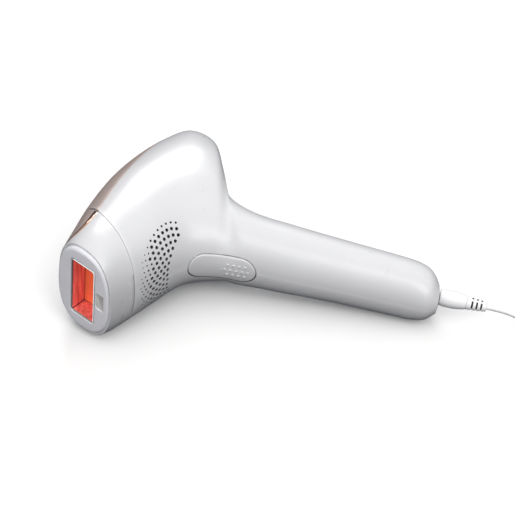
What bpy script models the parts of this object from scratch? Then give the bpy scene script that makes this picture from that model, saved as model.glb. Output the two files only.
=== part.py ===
"""A pulsed-light hair remover with its lead and mains adapter, lying on its right side on a table.

Device frame, in millimetres: x runs from the top of the head towards the end of the handle, y from
the treatment window to the rear of the head, and z is the device's own left side. The pieces hang on
an empty that lays the device down, so that the head and the end of the handle touch the table.
"""

import math

import bmesh
import bpy
import numpy as np
from mathutils import Matrix, Vector

MM = 0.001
GAP = 0.3

# Driving dimensions of the casing: each section across it runs from its front edge (underside of the
# head, then the trigger side of the handle) to its back edge (top and rear of the head, then the back
# of the handle): front x, front y, back x, back y, half width, roundness.
SECTIONS = (
    (19.8, -0.8, -19.2, -0.2, 28.8, 2.5),
    (21.2, 6.5, -24.5, 13.8, 32.4, 2.4),
    (23.9, 20, -35, 38.3, 33, 2.3),
    (25.5, 34, -43, 65.3, 33.5, 2.3),
    (26.6, 45, -46.5, 91, 33.5, 2.25),
    (28.8, 52.6, -46, 114, 33.5, 2.2),
    (33, 59.3, -40.5, 132.8, 33.2, 2.2),
    (38.7, 64.4, -24, 136.1, 31, 2.15),
    (44.5, 68, -8, 124, 25.8, 2.1),
    (51.5, 72.2, 8.7, 106, 23.7, 2.1),
    (61.5, 77.8, 30, 105.3, 21.5, 2.05),
    (74.7, 84.3, 55.2, 115, 20, 2.05),
    (97.5, 96.5, 85, 127.4, 18.5, 2.05),
    (126.5, 110.9, 116.5, 140.2, 17.6, 2.05),
    (136, 115.3, 127.2, 143, 16.8, 2.05),
    (144, 120, 132.8, 142.6, 13.8, 2.05),
    (147.4, 125.6, 137.8, 140.2, 8.5, 2.0),
)
END = len(SECTIONS) - 1
WALL = 2.4
STEPS = 2
HALF_RING = 12

# The device's place: tilted about y until head and handle end rest on the table, then lifted.
TILT = 6.9
LIFT = 32.87
CENTRE_X, CENTRE_Y = 49.9, 72.3

SEAM = 1.76
SEAM_GAP = 0.02
RING_DEPTH = 2.6
RING_TRAVEL = 1.0
WINDOW_X, WINDOW_Z, WINDOW_DEPTH = 15.2, 37.4, 9.9
SENSOR_X, SENSOR_Z, SENSOR_AT = 5.6, 11.4, 12.5

TRIM_DEPTH = 1.1
RECESS_DEPTH = 1.45
TRIGGER_START, TRIGGER_LENGTH, TRIGGER_HALF = 1.0, 38.0, 8.6
TRIGGER_WALL = 2.0
PANEL_START, PANEL_LENGTH, PANEL_HALF = 5.0, 38.0, 10.5

HANDLE_ANGLE = 22.6
HANDLE_REF = (121.7, 125.1)
HANDLE_END = 23.4

# The lead leaves the end of the handle at a small angle to the handle's own axis.
SOCKET_AT, SOCKET_ANGLE = (142.7, 135.0), 27.0

CORD_D = 3.2
COIL_AT = (182.0, 62.0)


# ---------------------------------------------------------------- scene and helpers

for stale in list(bpy.data.objects):
    bpy.data.objects.remove(stale)
parts = bpy.data.collections.new("hair_remover")
cutters = bpy.data.collections.new("cutters")
bpy.context.scene.collection.children.link(parts)
bpy.context.scene.collection.children.link(cutters)


def empty(name, parent=None, matrix=None):
    made = bpy.data.objects.new(name, None)
    parts.objects.link(made)
    made.parent = parent
    if matrix is not None:
        made.matrix_local = matrix
    return made


def material(name, colour, roughness, metallic=0.0):
    made = bpy.data.materials.get(name) or bpy.data.materials.new(name)
    made.use_nodes = True
    shader = made.node_tree.nodes["Principled BSDF"]
    shader.inputs["Base Color"].default_value = (*colour, 1)
    shader.inputs["Roughness"].default_value = roughness
    shader.inputs["Metallic"].default_value = metallic
    return made


PEARL = material("pearl_plastic", (0.84, 0.84, 0.85), 0.32)
ROSE = material("rose_trim", (0.72, 0.5, 0.43), 0.35, 0.6)
LILAC = material("lilac_plastic", (0.68, 0.68, 0.75), 0.4)
CHROME = material("bright_metal", (0.8, 0.8, 0.82), 0.2, 1.0)
STEEL = material("steel", (0.55, 0.56, 0.58), 0.35, 1.0)
RED_GLASS = material("red_glass", (0.85, 0.12, 0.05), 0.1)
CLEAR = material("clear_glass", (0.85, 0.9, 0.92), 0.05)
BLACK = material("black_plastic", (0.03, 0.03, 0.035), 0.5)
GREY = material("grey_plastic", (0.5, 0.5, 0.53), 0.45)
BOARD = material("circuit_board", (0.03, 0.22, 0.1), 0.5)
ALUMINIUM = material("aluminium", (0.75, 0.76, 0.78), 0.35, 1.0)
CABLE = material("cable_white", (0.82, 0.82, 0.83), 0.45)


def add(name, mesh, finish, parent, collection=parts):
    made = bpy.data.objects.new(name, mesh)
    collection.objects.link(made)
    made.parent = parent
    if finish:
        mesh.materials.clear()
        mesh.materials.append(finish)
    if collection is cutters:
        made.hide_render = True
        made.display_type = "WIRE"
    else:
        mesh.shade_smooth()
        mesh.set_sharp_from_angle(angle=math.radians(35))
    return made


def to_mesh(name, bm):
    """The bmesh as a mesh in metres, its faces turned outwards."""
    bmesh.ops.recalc_face_normals(bm, faces=bm.faces)
    bmesh.ops.scale(bm, vec=(MM, MM, MM), verts=bm.verts)
    mesh = bpy.data.meshes.new(name)
    bm.to_mesh(mesh)
    bm.free()
    return mesh


def bevel(piece, width, segments=2, angle=30):
    made = piece.modifiers.new("edges", "BEVEL")
    made.width = width * MM
    made.segments = segments
    made.limit_method = "ANGLE"
    made.angle_limit = math.radians(angle)
    return piece


def cut(piece, *tools, operation="DIFFERENCE"):
    for tool in tools:
        made = piece.modifiers.new(tool.name, "BOOLEAN")
        made.operation = operation
        made.solver = "EXACT"
        made.object = tool
    return piece


def box_mesh(name, low, high):
    bm = bmesh.new()
    bmesh.ops.create_cube(bm, size=1)
    size = [b - a for a, b in zip(low, high)]
    bmesh.ops.scale(bm, vec=size, verts=bm.verts)
    bmesh.ops.translate(bm, vec=[(a + b) / 2 for a, b in zip(low, high)], verts=bm.verts)
    return to_mesh(name, bm)


def axis_matrix(axis):
    return Vector(axis).normalized().to_track_quat("Z", "Y").to_matrix().to_4x4()


def rod_mesh(name, start, end, radius, sides=24, end_radius=None):
    start, end = Vector(start), Vector(end)
    bm = bmesh.new()
    bmesh.ops.create_cone(
        bm, cap_ends=True, segments=sides, radius1=radius,
        radius2=radius if end_radius is None else end_radius, depth=(end - start).length,
    )
    place = Matrix.Translation((start + end) / 2) @ axis_matrix(end - start)
    bmesh.ops.transform(bm, matrix=place, verts=bm.verts)
    return to_mesh(name, bm)


def box(name, low, high, finish, parent, collection=parts):
    return add(name, box_mesh(name, low, high), finish, parent, collection)


def rod(name, start, end, radius, finish, parent, collection=parts, sides=24, end_radius=None):
    mesh = rod_mesh(name, start, end, radius, sides, end_radius)
    return add(name, mesh, finish, parent, collection)


def joined(name, *meshes):
    """Several closed meshes in one, for a cutter whose bodies don't touch."""
    bm = bmesh.new()
    for mesh in meshes:
        bm.from_mesh(mesh)
    made = bpy.data.meshes.new(name)
    bm.to_mesh(made)
    bm.free()
    return made


def extruded(name, outline, low, high, axis="z"):
    """A closed outline of (a, b) points pushed from low to high along the axis."""
    order = {"z": lambda a, b, c: (a, b, c), "y": lambda a, b, c: (a, c, b)}[axis]
    bm = bmesh.new()
    rings = [[bm.verts.new(order(a, b, c)) for a, b in outline] for c in (low, high)]
    bm.faces.new(rings[0])
    bm.faces.new(rings[1])
    for i in range(len(outline)):
        j = (i + 1) % len(outline)
        bm.faces.new((rings[0][i], rings[0][j], rings[1][j], rings[1][i]))
    return to_mesh(name, bm)


def oval(half_x, half_z, roundness, count=32):
    """A superellipse outline."""
    turns = [2 * math.pi * i / count for i in range(count)]
    power = 2 / roundness
    return [
        (
            half_x * math.copysign(abs(math.cos(t)) ** power, math.cos(t)),
            half_z * math.copysign(abs(math.sin(t)) ** power, math.sin(t)),
        )
        for t in turns
    ]


# ---------------------------------------------------------------- the casing's surface


def section(s):
    """The section at s, counted in SECTIONS, on a smooth curve through them."""
    s = min(max(s, 0.0), float(END))
    i = min(int(s), END - 1)
    t = s - i
    a, b, c, d = (np.array(SECTIONS[min(max(k, 0), END)], float) for k in range(i - 1, i + 3))
    return 0.5 * (2 * b + (c - a) * t + (2 * a - 5 * b + 4 * c - d) * t**2 + (3 * b - a - 3 * c + d) * t**3)


def skin(s, angle):
    """A point of the casing in mm: angle 0 is its back edge, pi its front edge, positive its left side."""
    front_x, front_y, back_x, back_y, width, roundness = section(s)
    front, back = Vector((front_x, front_y)), Vector((back_x, back_y))
    power = 2 / roundness
    along = math.copysign(abs(math.cos(angle)) ** power, math.cos(angle))
    across = math.copysign(abs(math.sin(angle)) ** power, math.sin(angle))
    at = (front + back) / 2 + (back - front) / 2 * along
    return Vector((at.x, at.y, width * across))


def skin_normal(s, angle):
    """The casing's outward normal."""
    step = 0.02
    along = skin(s + step, angle) - skin(s - step, angle)
    around = skin(s, angle + step) - skin(s, angle - step)
    return around.cross(along).normalized()


def under(s, angle, depth):
    """The point this far beneath the casing's skin, or above it where the depth is negative."""
    return skin(s, angle) - depth * skin_normal(s, angle)


def edge_station(side_angle, distance, start):
    """The section whose edge point lies this far along the edge from that of section start."""
    stations = np.linspace(0, END, END * 40 + 1)
    points = np.array([skin(s, side_angle)[:2] for s in stations])
    lengths = np.concatenate([[0], np.cumsum(np.hypot(*np.diff(points, axis=0).T))])
    return float(np.interp(np.interp(start, stations, lengths) + distance, lengths, stations))


def angle_at(s, side_angle, across):
    """The angle where the casing is this far from its plane of symmetry."""
    width, roundness = section(s)[4:]
    turn = math.asin(min(abs(across) / width, 0.999) ** (roundness / 2))
    return turn if side_angle == 0 else math.pi - turn


def grid_solid(name, outer, inner):
    """A closed solid between two grids of points with the same rows and columns."""
    bm = bmesh.new()
    tops = [[bm.verts.new(p) for p in row] for row in outer]
    bases = [[bm.verts.new(p) for p in row] for row in inner]
    rows, columns = len(outer), len(outer[0])
    for i in range(rows - 1):
        for j in range(columns - 1):
            for g in (tops, bases):
                bm.faces.new((g[i][j], g[i][j + 1], g[i + 1][j + 1], g[i + 1][j]))
    for i in range(rows - 1):
        for j in (0, columns - 1):
            bm.faces.new((tops[i][j], tops[i + 1][j], bases[i + 1][j], bases[i][j]))
    for j in range(columns - 1):
        for i in (0, rows - 1):
            bm.faces.new((tops[i][j], tops[i][j + 1], bases[i][j + 1], bases[i][j]))
    return to_mesh(name, bm)


def patch(name, stations, edge_angle, side_angle, outer_depth, inner_depth, columns=10):
    """A piece of the casing's skin, symmetric about its plane, edge_angle(s) giving its half width."""

    def grid(depth):
        rows = []
        for s in stations:
            half = edge_angle(s)
            turns = [half * (2 * j / columns - 1) for j in range(columns + 1)]
            rows.append([under(s, side_angle + t, depth) for t in turns])
        return rows

    return grid_solid(name, grid(outer_depth), grid(inner_depth))


def pill_patch(name, side_angle, start, offset, length, half, grow, outer_depth, inner_depth, ends=6):
    """A pill-shaped patch along an edge of the casing, grown all round by grow."""
    half, length = half + grow, length + 2 * grow
    offset -= grow
    turns = [math.pi / 2 * i / ends for i in range(1, ends + 1)]
    near = [half * (1 - math.cos(t)) for t in turns]
    distances = near + [length / 2] + [length - d for d in reversed(near)]
    widths = [half * math.sin(t) for t in turns]
    widths = widths + [half] + list(reversed(widths))
    stations = [edge_station(side_angle, offset + d, start) for d in distances]
    lookup = dict(zip(stations, widths))

    def edge_angle(s):
        turn = angle_at(s, side_angle, lookup[s])
        return turn if side_angle == 0 else math.pi - turn

    return patch(name, stations, edge_angle, side_angle, outer_depth, inner_depth, 8)


def pad_frame(s, angle, depth=0.0):
    """A frame on the skin, or beneath it, its z along the skin's outward normal."""
    return Matrix.Translation(under(s, angle, depth)) @ axis_matrix(skin_normal(s, angle))


# ---------------------------------------------------------------- the device's place

lay_down = (
    Matrix.Translation(Vector((-CENTRE_X, -CENTRE_Y, LIFT)) * MM)
    @ Matrix.Rotation(math.radians(TILT), 4, "Y")
)
device = empty("device", matrix=lay_down)
handle_axis = empty(
    "handle_axis", device,
    Matrix.Translation(Vector((*HANDLE_REF, 0)) * MM) @ Matrix.Rotation(math.radians(HANDLE_ANGLE), 4, "Z"),
)
socket_frame = (
    Matrix.Translation(Vector((*SOCKET_AT, 0)) * MM)
    @ Matrix.Rotation(math.radians(SOCKET_ANGLE), 4, "Z")
)
socket_axis = empty("socket_axis", device, socket_frame)


# ---------------------------------------------------------------- casing shells


def casing_half(name, side):
    """One half of the body casing, open at the seam, side +1 for the left half."""
    count = round((END - SEAM) * STEPS)
    outer_stations = [SEAM + (END - SEAM) * i / count for i in range(count + 1)]
    tail = 12.0
    pull = 1.3
    inner_stations = [s - pull * (max(s - tail, 0) / (END - tail)) ** 2 for s in outer_stations]

    def half_ring(s, depth):
        width = section(s)[4]
        squeeze = (width - GAP / 2) / width
        ring = [under(s, math.pi * j / HALF_RING, depth) for j in range(HALF_RING + 1)]
        return [Vector((p.x, p.y, side * (GAP / 2 + max(p.z, 0) * squeeze))) for p in ring]

    outer = [half_ring(s, 0) for s in outer_stations]
    inner = [half_ring(s, WALL) for s in inner_stations]
    bm = bmesh.new()
    tops = [[bm.verts.new(p) for p in row] for row in outer]
    bases = [[bm.verts.new(p) for p in row] for row in inner]
    for i in range(count):
        for j in range(HALF_RING):
            for g in (tops, bases):
                bm.faces.new((g[i][j], g[i][j + 1], g[i + 1][j + 1], g[i + 1][j]))
        for j in (0, HALF_RING):
            bm.faces.new((tops[i][j], tops[i + 1][j], bases[i + 1][j], bases[i][j]))
    for j in range(HALF_RING):
        bm.faces.new((tops[0][j], tops[0][j + 1], bases[0][j + 1], bases[0][j]))
    for g in (tops, bases):
        bm.faces.new(g[-1])
    bm.faces.new((tops[-1][0], tops[-1][-1], bases[-1][-1], bases[-1][0]))
    return add(name, to_mesh(name, bm), PEARL, device)


def top_edge(s):
    """Half the top trim's spread, as an angle about the casing: wide at the seam, round at the tail."""
    spread = 72 - 7.3 * (s - SEAM) - 4 * max(s - 3.4, 0)
    tail = max(1 - (max(s - 4.9, 0) / 1.1) ** 3, 0.01)
    return math.radians(spread * tail**0.5)


def nose_edge(s):
    """The same for the attachment's trim: a blunt tip above the window."""
    t = max((s - 0.34) / (SEAM - 0.34), 0.001)
    return math.radians(72.5 * (1 - (1 - min(t, 1)) ** 2.5) ** 0.25)


def stations_between(low, high, count, ease=1.0):
    return [low + (high - low) * (i / count) ** ease for i in range(count + 1)]


TOP_START, TOP_END = SEAM + 0.03, 5.97
top_stations = [TOP_START + (TOP_END - TOP_START) * (1 - (1 - i / 16) ** 1.5) for i in range(17)]
add("top_trim", patch("top_trim", top_stations, top_edge, 0, 0, TRIM_DEPTH, 12), ROSE, device)


def grown(edge, by, first, last):
    """The same spread, wider by a distance, and past its end stations as wide as it is there."""
    return lambda s: edge(min(max(s, first), last)) + by / section(s)[4]


seat_stations = [SEAM - 0.2] + top_stations[1:-1] + [TOP_END + 0.03]
top_seat = add(
    "top_trim_seat",
    patch("top_trim_seat", seat_stations, grown(top_edge, 0.45, TOP_START, TOP_END), 0, -3, RECESS_DEPTH, 12),
    None, device, cutters,
)
trigger_opening = add(
    "trigger_opening",
    pill_patch("trigger_opening", math.pi, 5.0, TRIGGER_START, TRIGGER_LENGTH, TRIGGER_HALF, 0.45, -2.5, 5),
    None, device, cutters,
)
panel_seat = add(
    "panel_seat",
    pill_patch("panel_seat", 0, 6.0, PANEL_START, PANEL_LENGTH, PANEL_HALF, 0.35, -2.5, RECESS_DEPTH),
    None, device, cutters,
)
panel_opening = add(
    "panel_opening",
    pill_patch("panel_opening", 0, 6.0, PANEL_START, PANEL_LENGTH, PANEL_HALF, -2, -2, 5),
    None, device, cutters,
)
socket_bore = rod("socket_bore", (-14, 0, 0), (6, 0, 0), 6.3, None, socket_axis, cutters, 28)

VENT_ROWS, VENT_COLUMNS = 8, 6
VENT_PITCH = 3.5


def vent_holes(side):
    """The air inlets of one side: rows that follow the underside's arc, their holes growing rearwards."""
    holes = []
    for row in range(VENT_ROWS + 1):
        for column in range(VENT_COLUMNS):
            rise = VENT_PITCH * row
            rear = 2.95 + 1.45 * (rise / (VENT_PITCH * VENT_ROWS)) ** 1.4
            s = rear - 0.235 * (column + 0.5 * (row % 2))
            radius = 1.05 - 0.11 * column
            if radius < 0.7 or (row == 0 and side < 0):
                continue
            perimeter_angle = math.pi - (rise + 0.8) / 34.5
            angle = side * min(perimeter_angle, math.pi - 0.02)
            at = pad_frame(s, angle)
            place = at.to_translation()
            normal = at.to_3x3() @ Vector((0, 0, 1))
            holes.append(rod_mesh("vent", place - 6 * normal, place + 3 * normal, radius, 6))
    return holes


vents = {
    side: add(f"vents_{side}", joined("vents", *vent_holes(side)), None, device, cutters)
    for side in (1, -1)
}
left_shell = casing_half("left_shell", 1)
right_shell = casing_half("right_shell", -1)
for shell, side in ((left_shell, 1), (right_shell, -1)):
    cut(shell, top_seat, trigger_opening, panel_seat, panel_opening, socket_bore, vents[side])


# ---------------------------------------------------------------- attachment with the treatment window


def ring_shell(name, stations, wall, finish, parent):
    """A closed band of the casing, open at both ends."""
    turns = [math.pi * j / HALF_RING for j in range(-HALF_RING, HALF_RING)]
    bm = bmesh.new()
    grids = [[[bm.verts.new(under(s, t, depth)) for t in turns] for s in stations] for depth in (0, wall)]
    count = len(turns)
    for j in range(count):
        k = (j + 1) % count
        for g in grids:
            for a, b in zip(g, g[1:]):
                bm.faces.new((a[j], a[k], b[k], b[j]))
        for row in (0, -1):
            bm.faces.new((grids[0][row][j], grids[0][row][k], grids[1][row][k], grids[1][row][j]))
    return add(name, to_mesh(name, bm), finish, parent)


def slice_mesh(name, low, high, depth):
    """A solid slice of the casing between two sections."""
    turns = [math.pi * j / HALF_RING for j in range(-HALF_RING, HALF_RING)]
    bm = bmesh.new()
    rings = [[bm.verts.new(under(s, t, depth)) for t in turns] for s in (low, high)]
    for j in range(len(turns)):
        k = (j + 1) % len(turns)
        bm.faces.new((rings[0][j], rings[0][k], rings[1][k], rings[1][j]))
    for ring in rings:
        bm.faces.new(ring)
    return to_mesh(name, bm)


SHELL_FRONT = 0.3
SHELL_REAR = SEAM - SEAM_GAP
RING_X, RING_Z = 18.5, 28.2
FRAME_WALL = 0.7
frame_x = WINDOW_X / 2 + FRAME_WALL
frame_z = WINDOW_Z / 2 + FRAME_WALL
FLANGE_Y = (8.0, 9.5)
SPRING_Z = 23.0

attachment_shell = ring_shell("attachment_shell", stations_between(SHELL_FRONT, SHELL_REAR, 5), 2.2, PEARL, device)
ring_bore = add(
    "ring_bore", extruded("ring_bore", oval(RING_X + 0.35, RING_Z + 0.35, 2.5, 40), -5, 6, "y"), None, device, cutters,
)
grip_dip = add(
    "grip_dip",
    patch("grip_dip", [SEAM - 0.15, SEAM - 0.08, SEAM + 0.05], lambda s: math.radians(24), math.pi, -1.5, 0.8, 6),
    None, device, cutters,
)
nose_stations = stations_between(0.36, SHELL_REAR - 0.02, 9, 1.5)
add("attachment_trim", patch("attachment_trim", nose_stations, nose_edge, 0, 0, TRIM_DEPTH, 12), ROSE, device)
nose_seat = add(
    "attachment_trim_seat",
    patch(
        "attachment_trim_seat", [0.33] + nose_stations[1:-1] + [SEAM + 0.2], grown(nose_edge, 0.45, 0.37, SEAM),
        0, -3, RECESS_DEPTH, 12,
    ),
    None, device, cutters,
)
cut(attachment_shell, ring_bore, nose_seat, grip_dip)

window_frame = box(
    "window_frame", (-frame_x, 0, -frame_z), (frame_x, WINDOW_DEPTH, frame_z), CHROME, device,
)
frame_flange = add(
    "frame_flange", extruded("frame_flange", oval(18.2, 28.5, 2.5, 28), *FLANGE_Y, "y"), None, device, cutters,
)
window_hole = box(
    "window_hole", (-WINDOW_X / 2, -2, -WINDOW_Z / 2), (WINDOW_X / 2, 14, WINDOW_Z / 2), None, device, cutters,
)
spring_holes = add(
    "spring_holes",
    joined("spring_holes", *[rod_mesh("hole", (0, 5, z), (0, 12, z), 2.6, 12) for z in (-SPRING_Z, SPRING_Z)]),
    None, device, cutters,
)
cut(window_frame, frame_flange, operation="UNION")
cut(window_frame, window_hole, spring_holes)

contact_ring = add(
    "contact_ring", extruded("contact_ring", oval(RING_X, RING_Z, 2.5, 40), 0, RING_DEPTH, "y"), LILAC, device,
)
ring_window = box(
    "ring_window", (-frame_x - GAP, -3, -frame_z - GAP), (frame_x + GAP, 6, frame_z + GAP), None, device, cutters,
)
sensor_low = (SENSOR_AT - SENSOR_X / 2, 0.15, -SENSOR_Z / 2)
sensor_high = (SENSOR_AT + SENSOR_X / 2, RING_DEPTH, SENSOR_Z / 2)
sensor_hole = box(
    "sensor_hole",
    (sensor_low[0] - GAP, -3, sensor_low[2] - GAP), (sensor_high[0] + GAP, 6, sensor_high[2] + GAP),
    None, device, cutters,
)
cut(contact_ring, ring_window, sensor_hole)
box("skin_sensor_window", sensor_low, sensor_high, CLEAR, device)


def wire(name, points, diameter, finish, parent, resolution=2):
    """A tube along points given in mm."""
    data = bpy.data.curves.new(name, "CURVE")
    data.dimensions = "3D"
    data.bevel_depth = diameter / 2 * MM
    data.bevel_resolution = resolution
    data.use_fill_caps = True
    line = data.splines.new("POLY")
    line.points.add(len(points) - 1)
    for point, place in zip(line.points, points):
        point.co = (*(Vector(place) * MM), 1)
    data.materials.append(finish)
    made = bpy.data.objects.new(name, data)
    parts.objects.link(made)
    made.parent = parent
    return made


def coil_points(start, axis, radius, length, turns, steps=10):
    """A helix that starts at a point and winds about an axis through it."""
    place = Matrix.Translation(Vector(start)) @ axis_matrix(axis)
    count = int(turns * steps)
    return [
        place @ Vector((
            radius * math.cos(2 * math.pi * i / steps), radius * math.sin(2 * math.pi * i / steps),
            length * i / count,
        ))
        for i in range(count + 1)
    ]


for number, z in enumerate((-SPRING_Z, SPRING_Z), 1):
    points = coil_points((0, RING_DEPTH + 0.7, z), (0, 1, 0), 1.8, 5.4, 3, 8)
    wire(f"ring_spring_{number}", points, 0.5, STEEL, device, 1)


# ---------------------------------------------------------------- lamp unit behind the window

NOSE_FRONT, NOSE_WALL = 10.4, 1.1
nose_housing = add("nose_housing", slice_mesh("nose_housing", 1.94, 2.08, 2.8), BLACK, device)
nose_tube = add("nose_tube", extruded("nose_tube", oval(15, 24.8, 5, 28), NOSE_FRONT, 33, "y"), None, device, cutters)
nose_cavity = box(
    "nose_cavity", (-12.4, NOSE_FRONT + NOSE_WALL, -22.6), (12.4, 60, 22.6), None, device, cutters,
)
nose_window = box("nose_window", (-7.9, 5, -19), (7.9, 16, 19), None, device, cutters)
cut(nose_housing, nose_tube, operation="UNION")
cut(nose_housing, nose_cavity, nose_window)
glass_front = NOSE_FRONT + NOSE_WALL + GAP
box("filter_glass", (-11.5, glass_front, -21.5), (11.5, glass_front + 1.8, 21.5), RED_GLASS, device)

LAMP_Y = 24.0
rod("flash_lamp", (0, LAMP_Y, -21.6), (0, LAMP_Y, 21.6), 2.6, CLEAR, device, sides=20)
lamp_bore = rod("lamp_bore", (0, LAMP_Y, -40), (0, LAMP_Y, 40), 2.9, None, device, cutters)
for side, name in ((1, "lamp_holder_left"), (-1, "lamp_holder_right")):
    low, high = sorted((side * 18.4, side * 22.2))
    holder = box(name, (-8, LAMP_Y - 6.5, low), (8, LAMP_Y + 6.5, high), GREY, device)
    cut(holder, lamp_bore)


def trough(name, low, high):
    """The reflector: a parabolic sheet open towards the window, its two faces in one outline."""
    half, deep, thick = 10.4, 12.5, 0.8
    xs = [half * (i / 8 - 1) for i in range(17)]
    inner = [(x, 30 - deep * (x / half) ** 2) for x in xs]
    outer = [(x * (1 + thick / half), 30 + thick - deep * (x / half) ** 2) for x in reversed(xs)]
    return extruded(name, inner + outer, low, high)


add("reflector", trough("reflector", -18, 18), CHROME, device)

fins, fin_pitch = 6, 4.2
comb = [(-12, 31.6), (12, 31.6)]
for i in range(fins):
    right = 12 - i * fin_pitch
    comb += [(right, 43), (right - 1.4, 43)]
    if i < fins - 1:
        comb += [(right - 1.4, 34), (right - fin_pitch, 34)]
comb[-1] = (-12, 43)
comb[-2] = (-12 + 1.4, 43)
add("heat_sink", extruded("heat_sink", comb, -18, 18), ALUMINIUM, device)


# ---------------------------------------------------------------- fan

FAN_X, FAN_Y, FAN_SIDE, FAN_DEEP = -10.0, 50.0, 40.0, 10.0
fan_frame = box(
    "fan_frame", (FAN_X - FAN_SIDE / 2, FAN_Y, -FAN_SIDE / 2), (FAN_X + FAN_SIDE / 2, FAN_Y + FAN_DEEP, FAN_SIDE / 2),
    BLACK, device,
)
fan_bore = rod("fan_bore", (FAN_X, FAN_Y - 3, 0), (FAN_X, FAN_Y + 8.4, 0), 18.6, None, device, cutters, 32)
fan_vents = add(
    "fan_vents",
    joined("fan_vents", *[
        rod_mesh("hole", (FAN_X + 12.6 * math.cos(t), FAN_Y + 5, 12.6 * math.sin(t)),
                 (FAN_X + 12.6 * math.cos(t), FAN_Y + 15, 12.6 * math.sin(t)), 4.4, 12)
        for t in [math.pi / 3 * i for i in range(6)]
    ]),
    None, device, cutters,
)
cut(fan_frame, fan_bore, fan_vents)

fan_spin = empty("fan_spin", device, Matrix.Translation(Vector((FAN_X, FAN_Y + 4.4, 0)) * MM))
fan_rotor = rod("fan_rotor", (0, -3.6, 0), (0, 3.6, 0), 8, BLACK, fan_spin)
blade_meshes = []
for i in range(7):
    bm = bmesh.new()
    bmesh.ops.create_cube(bm, size=1)
    bmesh.ops.scale(bm, vec=(11.2, 0.9, 7), verts=bm.verts)
    bmesh.ops.rotate(bm, verts=bm.verts, matrix=Matrix.Rotation(math.radians(35), 3, "X"))
    bmesh.ops.translate(bm, verts=bm.verts, vec=(12.3, 0, 0))
    bmesh.ops.rotate(bm, verts=bm.verts, matrix=Matrix.Rotation(2 * math.pi * i / 7, 3, "Y"))
    blade_meshes.append(to_mesh("blade", bm))
fan_blades = add("fan_blades", joined("fan_blades", *blade_meshes), None, fan_spin, cutters)
cut(fan_rotor, fan_blades, operation="UNION")


# ---------------------------------------------------------------- trigger

PIVOT_ALONG, PIVOT_DEPTH = 4.0, 6.0
pivot_station = edge_station(math.pi, TRIGGER_START + PIVOT_ALONG, 5.0)
pivot_normal = skin_normal(pivot_station, math.pi)
pivot_at = skin(pivot_station, math.pi) - PIVOT_DEPTH * pivot_normal
pivot_turn = math.atan2(pivot_normal.x, -pivot_normal.y)
# About the pivot, x runs under the button towards its free end and y into the handle.
pivot_frame = Matrix.Translation(pivot_at * MM) @ Matrix.Rotation(pivot_turn, 4, "Z")
trigger_pivot = empty("trigger_pivot", device, pivot_frame)
EAR_IN, EAR_OUT, PIN_RADIUS = 3.4, 5.2, 1.0


trigger_cap = pill_patch(
    "trigger_button", math.pi, 5.0, TRIGGER_START, TRIGGER_LENGTH, TRIGGER_HALF, 0, -0.3, TRIGGER_WALL,
)
trigger_cap.transform(pivot_frame.inverted())
trigger_button = add("trigger_button", trigger_cap, PEARL, trigger_pivot)
ears = [
    box_mesh("ear", (-2.2, 1.2 - PIVOT_DEPTH, low), (2.2, 0.6, high))
    for low, high in ((EAR_IN, EAR_OUT), (-EAR_OUT, -EAR_IN))
]
trigger_ears = add("trigger_ears", joined("trigger_ears", *ears), None, trigger_pivot, cutters)
ear_bore = rod("ear_bore", (0, 0, -12), (0, 0, 12), PIN_RADIUS + GAP, None, trigger_pivot, cutters, 16)
cut(trigger_button, trigger_ears, operation="UNION")
cut(trigger_button, ear_bore)

CHEEK_IN, CHEEK_OUT, BASE_TOP, BASE_LOW = 5.7, 7.2, 3.4, 4.9
trigger_bracket = box(
    "trigger_bracket", (-4, BASE_TOP, -CHEEK_OUT), (20, BASE_LOW, CHEEK_OUT), GREY, trigger_pivot,
)
cheeks = [
    box_mesh("cheek", (-3, -2, low), (3, BASE_LOW - 0.4, high))
    for low, high in ((CHEEK_IN, CHEEK_OUT), (-CHEEK_OUT, -CHEEK_IN))
]
bracket_cheeks = add("bracket_cheeks", joined("bracket_cheeks", *cheeks), None, trigger_pivot, cutters)
cut(trigger_bracket, bracket_cheeks, operation="UNION")
cut(trigger_bracket, ear_bore)
rod("trigger_pin", (0, 0, -7.6), (0, 0, 7.6), PIN_RADIUS, STEEL, trigger_pivot, sides=12)
spring_wire = coil_points((0, 0, -2.6), (0, 0, 1), 1.9, 5.2, 5, 8)
wire("trigger_spring", spring_wire, 0.5, STEEL, trigger_pivot, 1)
box("trigger_switch", (8, -0.2, -3), (19, BASE_TOP - GAP, 3), BLACK, trigger_pivot)


# ---------------------------------------------------------------- control panel on the rear of the head


def panel_pad(distance, across=0.0):
    """A frame on the panel, this far along the casing's rear edge and to its side, z outwards."""
    s = edge_station(0, PANEL_START + distance, 6.0)
    angle = math.copysign(angle_at(s, 0, across), across) if across else 0.0
    return pad_frame(s, angle)


control_panel = add(
    "control_panel",
    pill_patch("control_panel", 0, 6.0, PANEL_START, PANEL_LENGTH, PANEL_HALF, 0, 0, TRIM_DEPTH),
    LILAC, device,
)
BUTTON_TRAVEL = 0.6


def press_button(name, distance, radius, finish):
    """A round button through the panel, on an empty whose z is the way it is pressed out."""
    pad = panel_pad(distance)
    hanger = empty(name + "_axis", device, Matrix.Translation(pad.to_translation() * MM) @ pad.to_3x3().to_4x4())
    button = rod(name, (0, 0, -3.2), (0, 0, 0.9), radius, finish, hanger, sides=20)
    bevel(button, 0.4, 2)
    hole = rod(name + "_hole", (0, 0, -5), (0, 0, 5), radius + GAP, None, hanger, cutters, 20)
    cut(control_panel, hole)
    return hanger


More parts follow.
